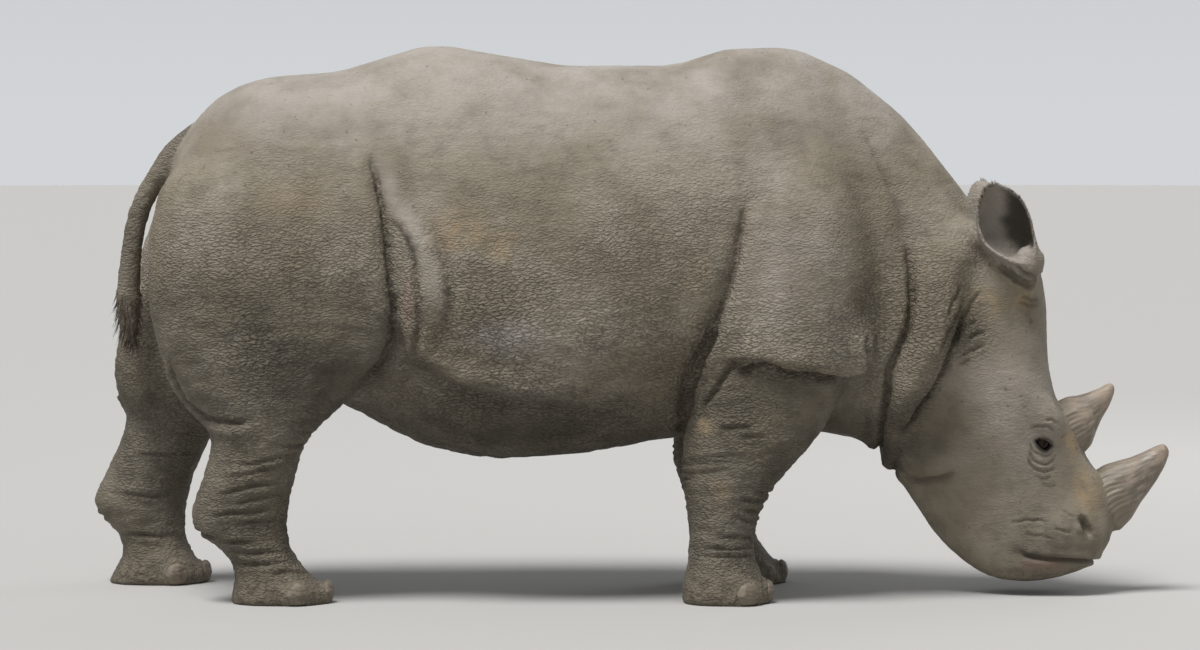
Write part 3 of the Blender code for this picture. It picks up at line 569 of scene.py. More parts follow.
# Creases round parts of each leg: where the middle of the crease lies, in degrees round the leg
# from its outer side towards the front, how far it reaches either way, its height, how much it
# rises from end to end, its depth and its width.
LEG_CREASES = {
    "fore": (
        (-70, 50, 0.520, 0.030, 0.0075, 0.0055), (-60, 60, 0.492, 0.035, 0.0060, 0.0050),
        (-75, 45, 0.466, 0.030, 0.0085, 0.0055), (-55, 60, 0.440, 0.040, 0.0065, 0.0050),
        (-70, 55, 0.417, 0.025, 0.0085, 0.0055), (-60, 50, 0.392, 0.035, 0.0055, 0.0050),
        (-75, 40, 0.365, 0.020, 0.0065, 0.0050), (60, 45, 0.330, -0.030, 0.0055, 0.0050),
        (50, 55, 0.298, -0.035, 0.0075, 0.0055), (65, 45, 0.270, -0.030, 0.0065, 0.0050),
        (45, 50, 0.243, -0.030, 0.0065, 0.0050), (30, 60, 0.205, -0.020, 0.0065, 0.0050),
        (10, 80, 0.168, 0.005, 0.0075, 0.0055), (20, 70, 0.140, -0.005, 0.0065, 0.0050),
        (-120, 50, 0.300, 0.000, 0.0065, 0.0050), (-130, 60, 0.235, 0.010, 0.0065, 0.0050),
        (150, 50, 0.360, 0.020, 0.0065, 0.0050), (160, 60, 0.180, 0.000, 0.0065, 0.0050)),
    "hind": (
        (20, 60, 0.430, 0.045, 0.0065, 0.0055), (10, 65, 0.395, 0.050, 0.0055, 0.0050),
        (15, 60, 0.345, 0.045, 0.0095, 0.0060), (25, 50, 0.312, 0.040, 0.0065, 0.0050),
        (10, 60, 0.272, 0.025, 0.0085, 0.0060), (30, 45, 0.245, 0.020, 0.0055, 0.0050),
        (-70, 40, 0.205, -0.020, 0.0105, 0.0070), (-20, 40, 0.185, -0.010, 0.0065, 0.0050),
        (20, 70, 0.160, 0.000, 0.0065, 0.0055), (0, 90, 0.125, 0.005, 0.0075, 0.0055),
        (40, 60, 0.100, -0.005, 0.0055, 0.0050), (60, 50, 0.470, -0.020, 0.0065, 0.0055),
        (70, 45, 0.505, -0.030, 0.0055, 0.0050), (160, 60, 0.400, 0.000, 0.0065, 0.0050),
        (170, 60, 0.280, 0.010, 0.0065, 0.0050), (180, 70, 0.150, 0.000, 0.0065, 0.0050)),
}
CREASE_CHANCE = np.random.default_rng(4)
CREASE_TURN, CREASE_SHIFT, CREASE_WANDER = 9, 0.007, 0.0025
LEG_SLICE, LEG_REACH = 0.012, 0.19

parts = part_under(points)
for leg, creases in LEG_CREASES.items():
    for side in SIDES.values():
        own = points[(parts == leg) & (points[:, 1] * side > 0)]
        for facing, reach, level, rise, depth, width in creases:
            facing = facing + CREASE_CHANCE.uniform(-CREASE_TURN, CREASE_TURN)
            level = level + CREASE_CHANCE.uniform(-CREASE_SHIFT, CREASE_SHIFT)
            path = []
            for share in np.linspace(-1, 1, 30):
                angle = math.radians(facing + share * reach)
                height = level + rise * share / 2 + CREASE_WANDER * math.sin(5 * share + facing)
                ring = own[np.abs(own[:, 2] - height) < LEG_SLICE]
                core = Vector((*((ring.min(0) + ring.max(0)) / 2)[:2], height))
                way = Vector((math.sin(angle), side * math.cos(angle), 0.0))
                hit = hide_tree.ray_cast(core + 0.4 * way, -way)[0]
                if hit is not None and (hit - core).length < LEG_REACH:
                    path.append(hit)
            if len(path) > 8:
                fold(None, depth, width, 0.45 * depth, 2.2 * width, 0, fade=0.4, dark=0.8,
                     paths=[np.array(path)])
set_points(hide.data, points)
roll = np.array([ROLL_HEIGHT[part] for part in parts])
low_flank = eased((0.95 - points[:, 2]) / 0.35) * (parts == "trunk")
roll = softened(hide.data, roll * (1 + 0.6 * low_flank), 30)
roll *= np.where(outward[:, 2] > 0.6, 0.4, 1.0)
roll *= eased((points[:, 2] - 0.02) / 0.05)
noted(hide.data, "roll", roll)
grown(hide, loose_skin, Across=9.0, Along=27.0)

# The eyelids, and the slit that they leave open over the ball.
EYE_BACK = 0.004
EYE_TILT = math.radians(-19.0)
LID_THICK = 0.0045
SLIT_HALF, SLIT_UP, SLIT_DOWN = 0.0262, 0.0130, 0.0165
LID_DARK = 0.0140
LID_SPREAD = (0.018, 0.044)
LID_RIM, BALL_CLEAR = 0.0016, 0.005
EYE_AREA, LID_AREA = 0.055, 0.075


def past_slit(a, b):
    """How far a place lies outside the slit, from its middle: a towards the nose, b upwards."""
    share = np.clip(a / SLIT_HALF, -1, 1)
    opening = np.sqrt(np.maximum(1 - share ** 2, 0.0))
    limit = np.where(b > 0, SLIT_UP * opening ** 1.3 * (1 - 0.20 * share),
                     SLIT_DOWN * opening ** 1.1 * (1 + 0.40 * share))
    return np.where(np.abs(a) < SLIT_HALF, np.abs(b) - limit,
                    np.hypot(np.abs(a) - SLIT_HALF, b))


points = points_of(hide.data)
eye_set = {}
for side in SIDES:
    centre = np.array(EYE_CENTRE[side])
    around = np.linalg.norm(points - centre, axis=1) < EYE_AREA
    out = outward[around].mean(0)
    out /= np.linalg.norm(out)
    forward = np.array((math.cos(EYE_TILT), 0.0, math.sin(EYE_TILT)))
    forward -= out * (forward @ out)
    forward /= np.linalg.norm(forward)
    upward = np.cross(out, forward)
    upward *= np.sign(upward[2])
    centre = centre - out * EYE_BACK
    eye_set[side] = (centre, out, forward, upward)
    zone = np.nonzero(np.linalg.norm(points - centre, axis=1) < LID_AREA)[0]
    zone = zone[(outward[zone] @ out) > 0.2]
    local = points[zone] - centre
    a, b, h = local @ forward, local @ upward, local @ out
    dome = np.sqrt(np.maximum((EYE_RADIUS + LID_THICK) ** 2 - a ** 2 - b ** 2, 0.0))
    spread = 1 - eased((np.hypot(a, b) - LID_SPREAD[0]) / (LID_SPREAD[1] - LID_SPREAD[0]))
    lids = h + (np.maximum(h, dome) - h) * spread
    beyond = past_slit(a, b)
    inner = np.sqrt(np.maximum((EYE_RADIUS - BALL_CLEAR) ** 2 - a ** 2 - b ** 2, 0.0))
    inside = 1 - eased((beyond + 0.0016) / 0.0022)
    lids += LID_RIM * np.exp(-((beyond - 0.004) / 0.003) ** 2)
    height = lids + (np.minimum(inner, lids) - lids) * inside
    points[zone] += out * (height - h)[:, None]

# Skin swells in a low cuticle round each toenail.
NAIL_NAMES = [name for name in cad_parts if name.startswith("nail")]
CUTICLE_HEIGHT, CUTICLE_APART, CUTICLE_WIDTH = 0.0045, 0.0080, 0.0050
FOOT_TOP = 0.14
feet = np.nonzero(points[:, 2] < FOOT_TOP)[0]
nail_points = [vertex.co.copy() for name in NAIL_NAMES
               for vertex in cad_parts[name].data.vertices]
nail_tree = BVHTree.FromPolygons(
    nail_points, [(first, first + 1, first + 2) for first in range(0, len(nail_points), 3)])
apart = np.array([nail_tree.find_nearest(points[index])[3] for index in feet])
points[feet] += outward[feet] * (CUTICLE_HEIGHT * np.exp(
    -((apart - CUTICLE_APART) / CUTICLE_WIDTH) ** 2))[:, None]
points[:, 2] = np.maximum(points[:, 2], 0.0)

# Creases of the face, over and under the lids and on the muzzle, the nostrils and the lips, and
# the rings of skin at the foot of each ear.
FACE_LINES = (
    (((1.203, 0.508), (1.230, 0.517), (1.262, 0.511), (1.287, 0.492)), 0.0050, 0.0042, 0.0030),
    (((1.250, 0.533), (1.272, 0.533), (1.290, 0.518)), 0.0050, 0.0040, 0.0026),
    (((1.206, 0.470), (1.214, 0.446), (1.240, 0.427), (1.266, 0.427), (1.282, 0.442)),
     0.0042, 0.0036, 0.0026),
    (((1.202, 0.450), (1.213, 0.422), (1.243, 0.399), (1.271, 0.405), (1.288, 0.424)),
     0.0060, 0.0042, 0.0036),
    (((1.196, 0.430), (1.210, 0.402), (1.237, 0.381), (1.264, 0.379), (1.294, 0.390)),
     0.0055, 0.0042, 0.0034),
    (((1.222, 0.370), (1.246, 0.356), (1.278, 0.362)), 0.0040, 0.0040, 0.0024),
    (((1.243, 0.345), (1.268, 0.332), (1.292, 0.338)), 0.0036, 0.0040, 0.0022),
    (((1.148, 0.219), (1.195, 0.231), (1.237, 0.229), (1.267, 0.221)), 0.0060, 0.0045, 0.0026),
    (((1.279, 0.208), (1.305, 0.199), (1.334, 0.196)), 0.0055, 0.0045, 0.0026),
    (((1.300, 0.262), (1.325, 0.247), (1.347, 0.242)), 0.0040, 0.0042, 0.0020),
    (((1.188, 0.190), (1.230, 0.186), (1.278, 0.175)), 0.0040, 0.0045, 0.0020),
)
NOSTRIL = ((1.352, 0.246), (1.368, 0.231), (1.380, 0.213), (1.383, 0.194), (1.378, 0.180))
MOUTH_MIDDLE, MOUTH_CORNER = (1.240, 0.0), 118.0
LIP_LEVEL = ((0.0, 0.098), (30.0, 0.104), (60.0, 0.114), (90.0, 0.119), (108.0, 0.126),
             (118.0, 0.146))
EAR_RINGS = (
    (((1.105, 1.000), (1.150, 0.962), (1.196, 0.936), (1.232, 0.930)), 0.010, 0.008, 0.006),
    (((1.130, 0.995), (1.165, 0.970), (1.205, 0.950), (1.236, 0.948)), 0.006, 0.006, 0.004),
    (((1.150, 1.000), (1.180, 0.980), (1.215, 0.965), (1.240, 0.965)), 0.006, 0.006, 0.004),
    (((1.165, 0.885), (1.204, 0.877), (1.239, 0.873)), 0.004, 0.005, 0.002),
    (((1.175, 0.902), (1.210, 0.894), (1.240, 0.891)), 0.004, 0.005, 0.002),
)

set_points(hide.data, points)
outward = points_of(hide.data, "normal")
for line, depth, width, lip in FACE_LINES:
    low = line[0][1] < 0.30
    fold(line, (0.65 if low else 1.0) * depth, width, 0.6 * lip, 2.0 * width, 0,
         dark=0.45 if low else 0.75)
for line, depth, width, lip in EAR_RINGS:
    fold(line, 1.25 * depth, width, lip, 1.8 * width, 0, dark=1.1)
fold(NOSTRIL, 0.025, 0.0120, 0.006, 0.020, 0, fade=0.35, dark=1.5)
mouth = []
for angle in np.linspace(-MOUTH_CORNER, MOUTH_CORNER, 110):
    way = Vector((math.cos(math.radians(angle)), math.sin(math.radians(angle)), 0.0))
    level_here = np.interp(abs(angle), *zip(*LIP_LEVEL))
    middle_here = Vector((*MOUTH_MIDDLE, level_here))
    hit = hide_tree.ray_cast(middle_here + way, -way)[0]
    if hit is not None:
        mouth.append(hit)
fold(None, 0.015, 0.0062, 0.006, 0.016, 0, fade=0.08, dark=1.2, paths=[np.array(mouth)])
set_points(hide.data, points)

# Thinned where it is smooth, so that the face keeps its faces.
THIN = {"trunk": 1.0, "neck": 0.9, "head": 0.55, "ear": 0.5, "eye": 0.0, "nail": 0.8}
THIN_LEG, CREASE_KEPT = 0.85, 0.7


def creased(points_now):
    """How much painted shade each point takes from the folds: the most at a fold's bottom, none
    beyond.
    """
    found = np.zeros(len(points_now))
    for path, width, dark, fade in folds_laid:
        near, distance, turn, along = beside(path, 3.2 * width)
        ends = eased(along / fade) * eased((1 - along) / fade) if fade else 1.0
        found[near] = np.maximum(found[near], dark * np.exp(-(distance / width) ** 2) * ends)
    return found


parts = part_under(points)
thin = np.array([THIN.get(part, THIN_LEG) for part in parts]) * (1 - near_eyes(points, EYE_ZONE))
thin *= 1 - CREASE_KEPT * np.minimum(1.5 * creased(points), 1.0)
count = sum(len(face.vertices) - 2 for face in hide.data.polygons)
with_modifier(hide, "DECIMATE", ratio=HIDE_TRIANGLES / count,
              vertex_group=grouped(hide, "thin", thin), vertex_group_factor=0.0004)
hide.vertex_groups.clear()

# Where the hide is creased, wrinkled, stained or bare, and where shade and light are painted on
# it, noted on its points for its finish.
points, outward = points_of(hide.data), points_of(hide.data, "normal")
parts = part_under(points)


def patch(centre, radii, strength=1.0):
    """A soft spot on both sides of the animal: one at its centre, nothing at its radii."""
    x, y, z = ((points[:, axis] if axis != 1 else np.abs(points[:, 1])) - centre[axis]
               for axis in range(3))
    reach = np.sqrt((x / radii[0]) ** 2 + (y / radii[1]) ** 2 + (z / radii[2]) ** 2)
    return strength * (1 - eased(reach))


def any_of(*masks):
    """At each point, the strongest of the masks."""
    return np.maximum.reduce(masks)


# Painted shade: down in the folds, the nostrils and the mouth line, in the hollow between thigh
# and flank, under the throat and low behind the thigh.
crease = any_of(creased(points), patch((-0.675, 0.42, 0.76), (0.045, 0.20, 0.13), 0.85),
                patch((0.84, 0.00, 0.50), (0.16, 0.20, 0.12), 0.45),
                patch((-0.90, 0.30, 0.58), (0.22, 0.14, 0.14), 0.35))
WRINKLED = {"trunk": 0.80, "neck": 0.62, "head": 0.15, "fore": 0.66, "hind": 0.66, "tail": 0.6,
            "ear": 0.20, "eye": 0.2, "nail": 0.2}
wrinkle = softened(hide.data, np.array([WRINKLED[part] for part in parts]), 40)
on_trunk = (parts == "trunk") | (parts == "neck")
wrinkle *= np.where(on_trunk, 1.30 - 1.12 * eased((points[:, 2] - 0.75) / 0.65), 1.0)
wrinkle = any_of(wrinkle, patch((-0.66, 0.40, 0.85), (0.14, 0.25, 0.40), 1.0),
                 patch((-1.02, 0.42, 0.74), (0.34, 0.30, 0.28), 1.35),
                 patch((-0.42, 0.46, 0.86), (0.26, 0.25, 0.20), 1.25),
                 patch((0.80, 0.25, 0.62), (0.14, 0.25, 0.30), 0.95),
                 patch((1.02, 0.22, 0.80), (0.12, 0.16, 0.17), 0.9),
                 patch((1.25, 0.16, 0.38), (0.07, 0.10, 0.07), 0.6))
wrinkle *= 1 - 0.8 * near_eyes(points, 0.06)
on_roll = np.zeros(len(points))
for side in SIDES.values():
    near, distance, turn, along = beside(laid(FLANK_ROLL, side), 0.045)
    on_roll[near] = (1 - eased((distance - 0.016) / 0.029)) * eased((1 - along) / 0.25)
wrinkle *= 1 - 0.75 * on_roll
wrinkle *= 1 - patch((0.50, 0.42, 0.98), (0.30, 0.24, 0.42), 0.55)
wrinkle *= 1 - patch((0.54, 0.40, 0.58), (0.22, 0.22, 0.16), 0.45)
wrinkle *= 0.55 + 0.45 * eased((points[:, 2] - 0.03) / 0.12)
# Painted shade: darker towards the bottom of the trunk, on the legs, the lower thigh, the belly,
# the upper forelegs, the low flank, the muzzle, the face, under the throat, at the temples and on
# the tail.
dark = any_of(
    softened(hide.data, eased((0.66 - points[:, 2]) / 0.30) * on_trunk, 10),
    patch((-0.92, 0.38, 0.70), (0.42, 0.30, 0.30), 1.0),
    patch((-0.35, 0.30, 0.50), (0.85, 0.50, 0.22), 1.0),
    patch((0.48, 0.36, 0.55), (0.30, 0.30, 0.20), 0.8),
    patch((-0.62, 0.44, 0.70), (0.11, 0.20, 0.06), 0.9),
    patch((1.25, 0.14, 0.14), (0.23, 0.26, 0.20), 0.9),
    patch((1.24, 0.00, 0.60), (0.12, 0.16, 0.12), 0.35),
    softened(hide.data, np.where(np.isin(parts, ("fore", "hind")), 0.65, 0.0), 40),
    patch((0.86, 0.10, 0.52), (0.28, 0.34, 0.24), 0.9),
    patch((1.01, 0.22, 0.80), (0.10, 0.14, 0.11), 0.75),
    np.where(parts == "tail", 0.5, 0.0))
mud = eased((0.13 - points[:, 2]) / 0.10)
ochre = any_of(
    patch((-0.49, 0.46, 1.11), (0.13, 0.20, 0.10), 0.8),
    patch((-0.36, 0.46, 1.06), (0.09, 0.2, 0.08), 0.6),
    patch((1.07, 0.20, 0.88), (0.08, 0.14, 0.07), 0.9),
    patch((1.20, 0.16, 0.89), (0.07, 0.12, 0.08), 0.8),
    patch((1.335, 0.12, 0.45), (0.055, 0.14, 0.09), 0.95),
    patch((1.385, 0.12, 0.33), (0.07, 0.14, 0.11), 0.85),
    patch((0.23, 0.38, 0.53), (0.05, 0.2, 0.04), 0.8),
    patch((0.27, 0.42, 0.34), (0.07, 0.2, 0.05), 0.8),
    patch((0.20, 0.40, 0.95), (0.06, 0.2, 0.25), 0.35),
    patch((-0.95, 0.40, 1.20), (0.20, 0.2, 0.10), 0.3))
pink = any_of(
    patch((1.25, 0.10, 0.095), (0.12, 0.10, 0.035), 0.9),
    patch((-0.64, 0.40, 0.90), (0.03, 0.2, 0.13), 0.5),
    patch((-1.40, 0.04, 0.95), (0.10, 0.07, 0.22), 0.7))
# Paler skin: the face's own greyer tone, and painted light on the top of the back, the shoulders,
# the lit band of the low flank, the flank roll and inside the ears.
pale = any_of(
    eased((points[:, 2] - 1.25) / 0.35),
    patch((1.27, 0.15, 0.50), (0.09, 0.10, 0.08), 0.6),
    patch((0.42, 0.36, 1.30), (0.14, 0.2, 0.14), 0.7),
    patch((0.50, 0.42, 1.00), (0.26, 0.24, 0.36), 0.85),
    patch((1.12, 0.14, 0.56), (0.28, 0.30, 0.36), 0.75),
    patch((-0.36, 0.46, 0.80), (0.22, 0.20, 0.08), 0.9),
    0.5 * on_roll,
    np.where(parts == "ear", 0.7, 0.0))

# The rims of the lids are nearly black: their own dark skin, and painted shade round the slit.
for centre, out, forward, upward in eye_set.values():
    local = points - centre
    close = np.nonzero(np.linalg.norm(local, axis=1) < 0.05)[0]
    beyond = past_slit(local[close] @ forward, local[close] @ upward)
    crease[close] = np.maximum(crease[close], 1.25 * (1 - eased((beyond - 0.002) / LID_DARK)))

# Inside each ear, painted shade darkens the skin towards the front and the foot of the roll.
for side in SIDES:
    ear = np.array([vertex.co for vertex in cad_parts[f"ear_{side}"].data.vertices])
    levels = np.linspace(ear[:, 2].min(), ear[:, 2].max(), 12)
    spans = [(ear[:, 2] >= low) & (ear[:, 2] <= high) for low, high in zip(levels, levels[1:])]
    core = np.array([ear[span].mean(0) for span in spans if span.any()])
    chosen = np.nonzero((parts == "ear") & (points[:, 1] * SIDES[side] > 0))[0]
    axis = np.stack([np.interp(points[chosen, 2], core[:, 2], core[:, i]) for i in (0, 1)], 1)
    inward = axis - points[chosen, :2]
    inward /= np.linalg.norm(inward, axis=1)[:, None] + 1e-6
    facing = (inward * outward[chosen, :2]).sum(1)
    forward = eased((points[chosen, 0] - axis[:, 0] + 0.012) / 0.045)
    hollow = eased((facing - 0.1) / 0.5) * np.maximum(forward, 0.12)
    crease[chosen] = np.maximum(crease[chosen], 1.1 * hollow)
crease = softened(hide.data, crease, 1)

for name, values in (("crease", crease), ("wrinkle", wrinkle), ("dark", dark), ("mud", mud),
                     ("ochre", ochre), ("pink", pink), ("pale", pale)):
    noted(hide.data, name, values)

# The finish of the hide: a grey-brown skin cracked into small plates that run level round the
# body, with painted shade in the cracks, down in the folds and low on the body and legs, painted
# light on the top and the shoulders, ochre dust, dried mud on the feet and bare pink at the lips.
HIDE_GREY, HIDE_BROWN = (0.268, 0.234, 0.182), (0.190, 0.160, 0.114)
# A dark tone for random mottle, specks and painted shade; a pale tone for the face's paler skin
# and painted light.
HIDE_DARK, HIDE_PALE_LIT = (0.058, 0.049, 0.034), (0.388, 0.352, 0.322)
HIDE_OCHRE, HIDE_PINK = (0.330, 0.240, 0.140), (0.300, 0.185, 0.145)
MUD_BROWN = (0.165, 0.138, 0.100)
# The colours of the painted shade in the cracks between the plates and down in the folds.
CRACK_SHADE, FOLD_SHADE = (0.02, 0.016, 0.010), (0.020, 0.016, 0.011)
PLATE_SIZE = (0.0175, 0.0175, 0.0078)
PLATE_DRIFT, HIDE_RISE = 0.030, 0.0068


def noise_of(tree, vector, scale, detail=2.0, rough=0.5, stretch=None):
    """Noise on the vector, which may first be stretched; its value runs from 0 to 1."""
    if stretch:
        vector = vector_maths(tree, "MULTIPLY", vector, stretch)
    return node_of(tree, "ShaderNodeTexNoise", {
        "Vector": vector, "Scale": scale, "Detail": detail, "Roughness": rough}).outputs["Fac"]


def noted_in(tree, name):
    """The numbers stored on the piece's points under the name."""
    return node_of(tree, "ShaderNodeAttribute", attribute_name=name).outputs["Fac"]


def between(tree, value, low, high, to_low=0.0, to_high=1.0):
    """The value eased from one range into another."""
    return node_of(tree, "ShaderNodeMapRange", {
        "Value": value, "From Min": low, "From Max": high, "To Min": to_low, "To Max": to_high},
        interpolation_type="SMOOTHSTEP").outputs["Result"]


def scaled(tree, value, share):
    """The value times the share."""
    return maths(tree, "MULTIPLY", value, share)


def surfaced(tree, shader, tint, rough, height, rise, strength=1.0):
    """Feeds the shader its colour, its roughness and a bump that rises with the height."""
    bump = node_of(tree, "ShaderNodeBump", {
        "Strength": strength, "Distance": rise, "Height": height})
    feed(tree, shader["Base Color"], tint)
    feed(tree, shader["Roughness"], rough)
    feed(tree, shader["Normal"], bump.outputs["Normal"])


# Dried mud in flecks, with its own size, edge and share of the surface.
dried_mud = bpy.data.node_groups.new("dried_mud", "ShaderNodeTree")
for name, kind in (("Place", "Vector"), ("Scale", "Float"), ("Low", "Float"), ("High", "Float"),
                   ("Share", "Float"), ("Under", "Color"), ("Mud", "Color")):
    dried_mud.interface.new_socket(name, in_out="INPUT", socket_type="NodeSocket" + kind)
for name, kind in (("Colour", "Color"), ("Mask", "Float")):
    dried_mud.interface.new_socket(name, in_out="OUTPUT", socket_type="NodeSocket" + kind)
given = dried_mud.nodes.new("NodeGroupInput").outputs
result = dried_mud.nodes.new("NodeGroupOutput").inputs
flecks = noise_of(dried_mud, given["Place"], given["Scale"], 4.0, 0.65)
cover = scaled(dried_mud, between(dried_mud, flecks, given["Low"], given["High"]), given["Share"])
feed(dried_mud, result["Mask"], cover)
feed(dried_mud, result["Colour"],
     mixed(dried_mud, scaled(dried_mud, cover, 0.85), given["Under"], given["Mud"]))


def muddied(tree, place, under, scale, low, high, share, mud):
    """The surface under dried mud: its Colour and the mud's Mask."""
    return node_of(tree, "ShaderNodeGroup", {
        "Place": place, "Under": under, "Scale": scale, "Low": low, "High": high, "Share": share,
        "Mud": mud}, node_tree=dried_mud).outputs


hide_skin, tree, shader = material_named("hide_skin")
spot = node_of(tree, "ShaderNodeTexCoord").outputs["Object"]
drift = node_of(tree, "ShaderNodeTexNoise", {"Vector": spot, "Scale": 11.0, "Detail": 2.0})
drifted = vector_maths(tree, "SUBTRACT", drift.outputs["Color"], (0.5, 0.5, 0.5))
drifted = vector_maths(tree, "ADD", spot,
                       vector_maths(tree, "MULTIPLY", drifted, (PLATE_DRIFT,) * 3))
level = tuple(1 / size for size in PLATE_SIZE)
ripple = noise_of(tree, drifted, 1.0, 1.5, 0.5, level)
ripple = maths(tree, "ABSOLUTE", maths(tree, "SUBTRACT", ripple, 0.5))
ripple = maths(tree, "POWER", scaled(tree, ripple, 5.0), 0.55)
plates = node_of(tree, "ShaderNodeTexVoronoi", {
    "Vector": vector_maths(tree, "MULTIPLY", drifted, tuple(0.80 * part for part in level)),
    "Scale": 1.0}, feature="DISTANCE_TO_EDGE")
plate = between(tree, plates.outputs["Distance"], 0.0, 0.30)
relief = maths(tree, "ADD", scaled(tree, ripple, 0.48), scaled(tree, plate, 0.60))
relief = maths(tree, "MINIMUM", relief, 1.1)
grain = noise_of(tree, spot, 330.0, 3.0, 0.6)
coarse = noise_of(tree, spot, 22.0, 3.0, 0.6, (1.0, 1.0, 2.2))
wrinkled = scaled(tree, noted_in(tree, "wrinkle"),
                  between(tree, noise_of(tree, spot, 4.0, 2.0), 0.30, 0.62, 0.55, 1.15))
high = maths(tree, "ADD", scaled(tree, relief, wrinkled), scaled(tree, grain, 0.10))
high = maths(tree, "ADD", high, scaled(tree, coarse, 0.35))

tint = mixed(tree, between(tree, noise_of(tree, spot, 2.6, 4.0, 0.6), 0.38, 0.64),
             HIDE_BROWN, HIDE_GREY)
tint = mixed(tree, between(tree, noise_of(tree, spot, 14.0, 5.0, 0.65), 0.44, 0.66, 0.0, 0.26),
             tint, HIDE_DARK)
# Paler tone with painted light, painted shade and ochre dust, each broken up by its own cloud.
for mark, stain_light_and_shade, scale, rough, low, high_end, least, most in (
        ("pale", HIDE_PALE_LIT, 5.0, 0.60, 0.30, 0.70, 0.20, 0.8),
        ("dark", HIDE_DARK, 7.0, 0.60, 0.28, 0.68, 0.55, 1.0),
        ("ochre", HIDE_OCHRE, 12.0, 0.65, 0.36, 0.62, 0.00, 1.0)):
    cloud = between(tree, noise_of(tree, spot, scale, 4.0, rough), low, high_end, least, most)
    tint = mixed(tree, scaled(tree, noted_in(tree, mark), cloud), tint, stain_light_and_shade)
tint = mixed(tree, scaled(tree, noted_in(tree, "pink"), 0.8), tint, HIDE_PINK)
muddy = muddied(tree, spot, tint, 38.0, 0.36, 0.56, noted_in(tree, "mud"), MUD_BROWN)
high = maths(tree, "ADD", high, scaled(tree, muddy["Mask"], 0.8))
speck = between(tree, noise_of(tree, spot, 55.0, 2.0), 0.68, 0.74, 0.0, 0.45)
tint = mixed(tree, speck, muddy["Colour"], HIDE_DARK)
# Painted shade in the cracks between the plates, where the relief runs low.
groove = scaled(tree, between(tree, relief, 0.05, 0.62, 1.0, 0.0), scaled(tree, wrinkled, 0.70))
tint = mixed(tree, groove, tint, mixed(tree, 0.75, tint, CRACK_SHADE))
# Painted shade down in the folds, at the rims of the lids and inside the ears.
depth = maths(tree, "MINIMUM", scaled(tree, noted_in(tree, "crease"), 0.8), 0.92)
tint = mixed(tree, depth, tint, FOLD_SHADE)
surfaced(tree, shader, tint, between(tree, grain, 0.3, 0.7, 0.62, 0.82), high, HIDE_RISE)
feed(tree, shader["Specular IOR Level"], 0.35)


def shaded(piece, finish=None):
    """Shades the piece smoothly and gives it the finish, if there is one."""
    if finish:
        piece.data.materials.clear()
        piece.data.materials.append(finish)
    for face in piece.data.polygons:
        face.use_smooth = True


shaded(hide, hide_skin)
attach(hide, "root")
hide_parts(*FLESH)

# ---------------------------------------------------------------- Horns
# Two horns of packed hair-like fibre stand on the nose, grown from the skin. They are grey-tan,
# rubbed paler at the tip and ridged lengthwise above the hide, and the front one is the grimier.

HORN_FINE, HORN_ROUNDS = 0.0036, 14
HORN_PROUD, HORN_RIDGE, COLLAR_RIDGE = 0.0026, 0.0003, 0.0008
HORN_GRIME = {"horn_front": 0.65, "horn_rear": 0.15}
HORN_TAN, HORN_SHADE = (0.310, 0.255, 0.198), (0.140, 0.116, 0.088)
HORN_TIP = (0.370, 0.285, 0.212)
HORN_LEAN = 62.0

horn_fibre, tree, shader = material_named("horn_fibre")
spot = node_of(tree, "ShaderNodeTexCoord").outputs["Object"]
lengthways = node_of(tree, "ShaderNodeMapping", {
    "Vector": spot, "Rotation": (0.0, math.radians(HORN_LEAN), 0.0)}, vector_type="TEXTURE")
fibre = noise_of(tree, lengthways.outputs[0], 1.0, 3.0, 0.6, (420.0, 420.0, 14.0))
stripe = noise_of(tree, lengthways.outputs[0], 1.0, 3.0, 0.6, (70.0, 70.0, 9.0))
blotch = noise_of(tree, spot, 17.0, 4.0, 0.6)
tint = mixed(tree, between(tree, stripe, 0.35, 0.65), HORN_SHADE, HORN_TAN)
tint = mixed(tree, between(tree, blotch, 0.40, 0.70, 0.0, 0.5), tint, HORN_TIP)
tint = mixed(tree, scaled(tree, noted_in(tree, "tip"), 0.7), tint, HORN_TIP)
muddy = muddied(tree, spot, tint, 26.0, 0.30, 0.56, noted_in(tree, "grime"), HORN_SHADE)
collar = scaled(tree, noted_in(tree, "collar"), between(tree, stripe, 0.30, 0.60, 0.35, 0.9))
tint = mixed(tree, collar, muddy["Colour"], HIDE_BROWN)
surfaced(tree, shader, tint, between(tree, blotch, 0.3, 0.7, 0.42, 0.66),
         maths(tree, "ADD", scaled(tree, fibre, 0.5), stripe), 0.0018, 0.8)


def recast(name, finish, fine, rounds):
    """A piece cast anew from one of the frame's nodes: finely meshed, with its facets eased."""
    piece = linked(f"{name}_{finish}", meshed(welded(name), f"{name}_{finish}"))
    with_modifier(piece, "REMESH", mode="VOXEL", voxel_size=fine)
    return with_modifier(piece, "SMOOTH", factor=0.5, iterations=rounds)


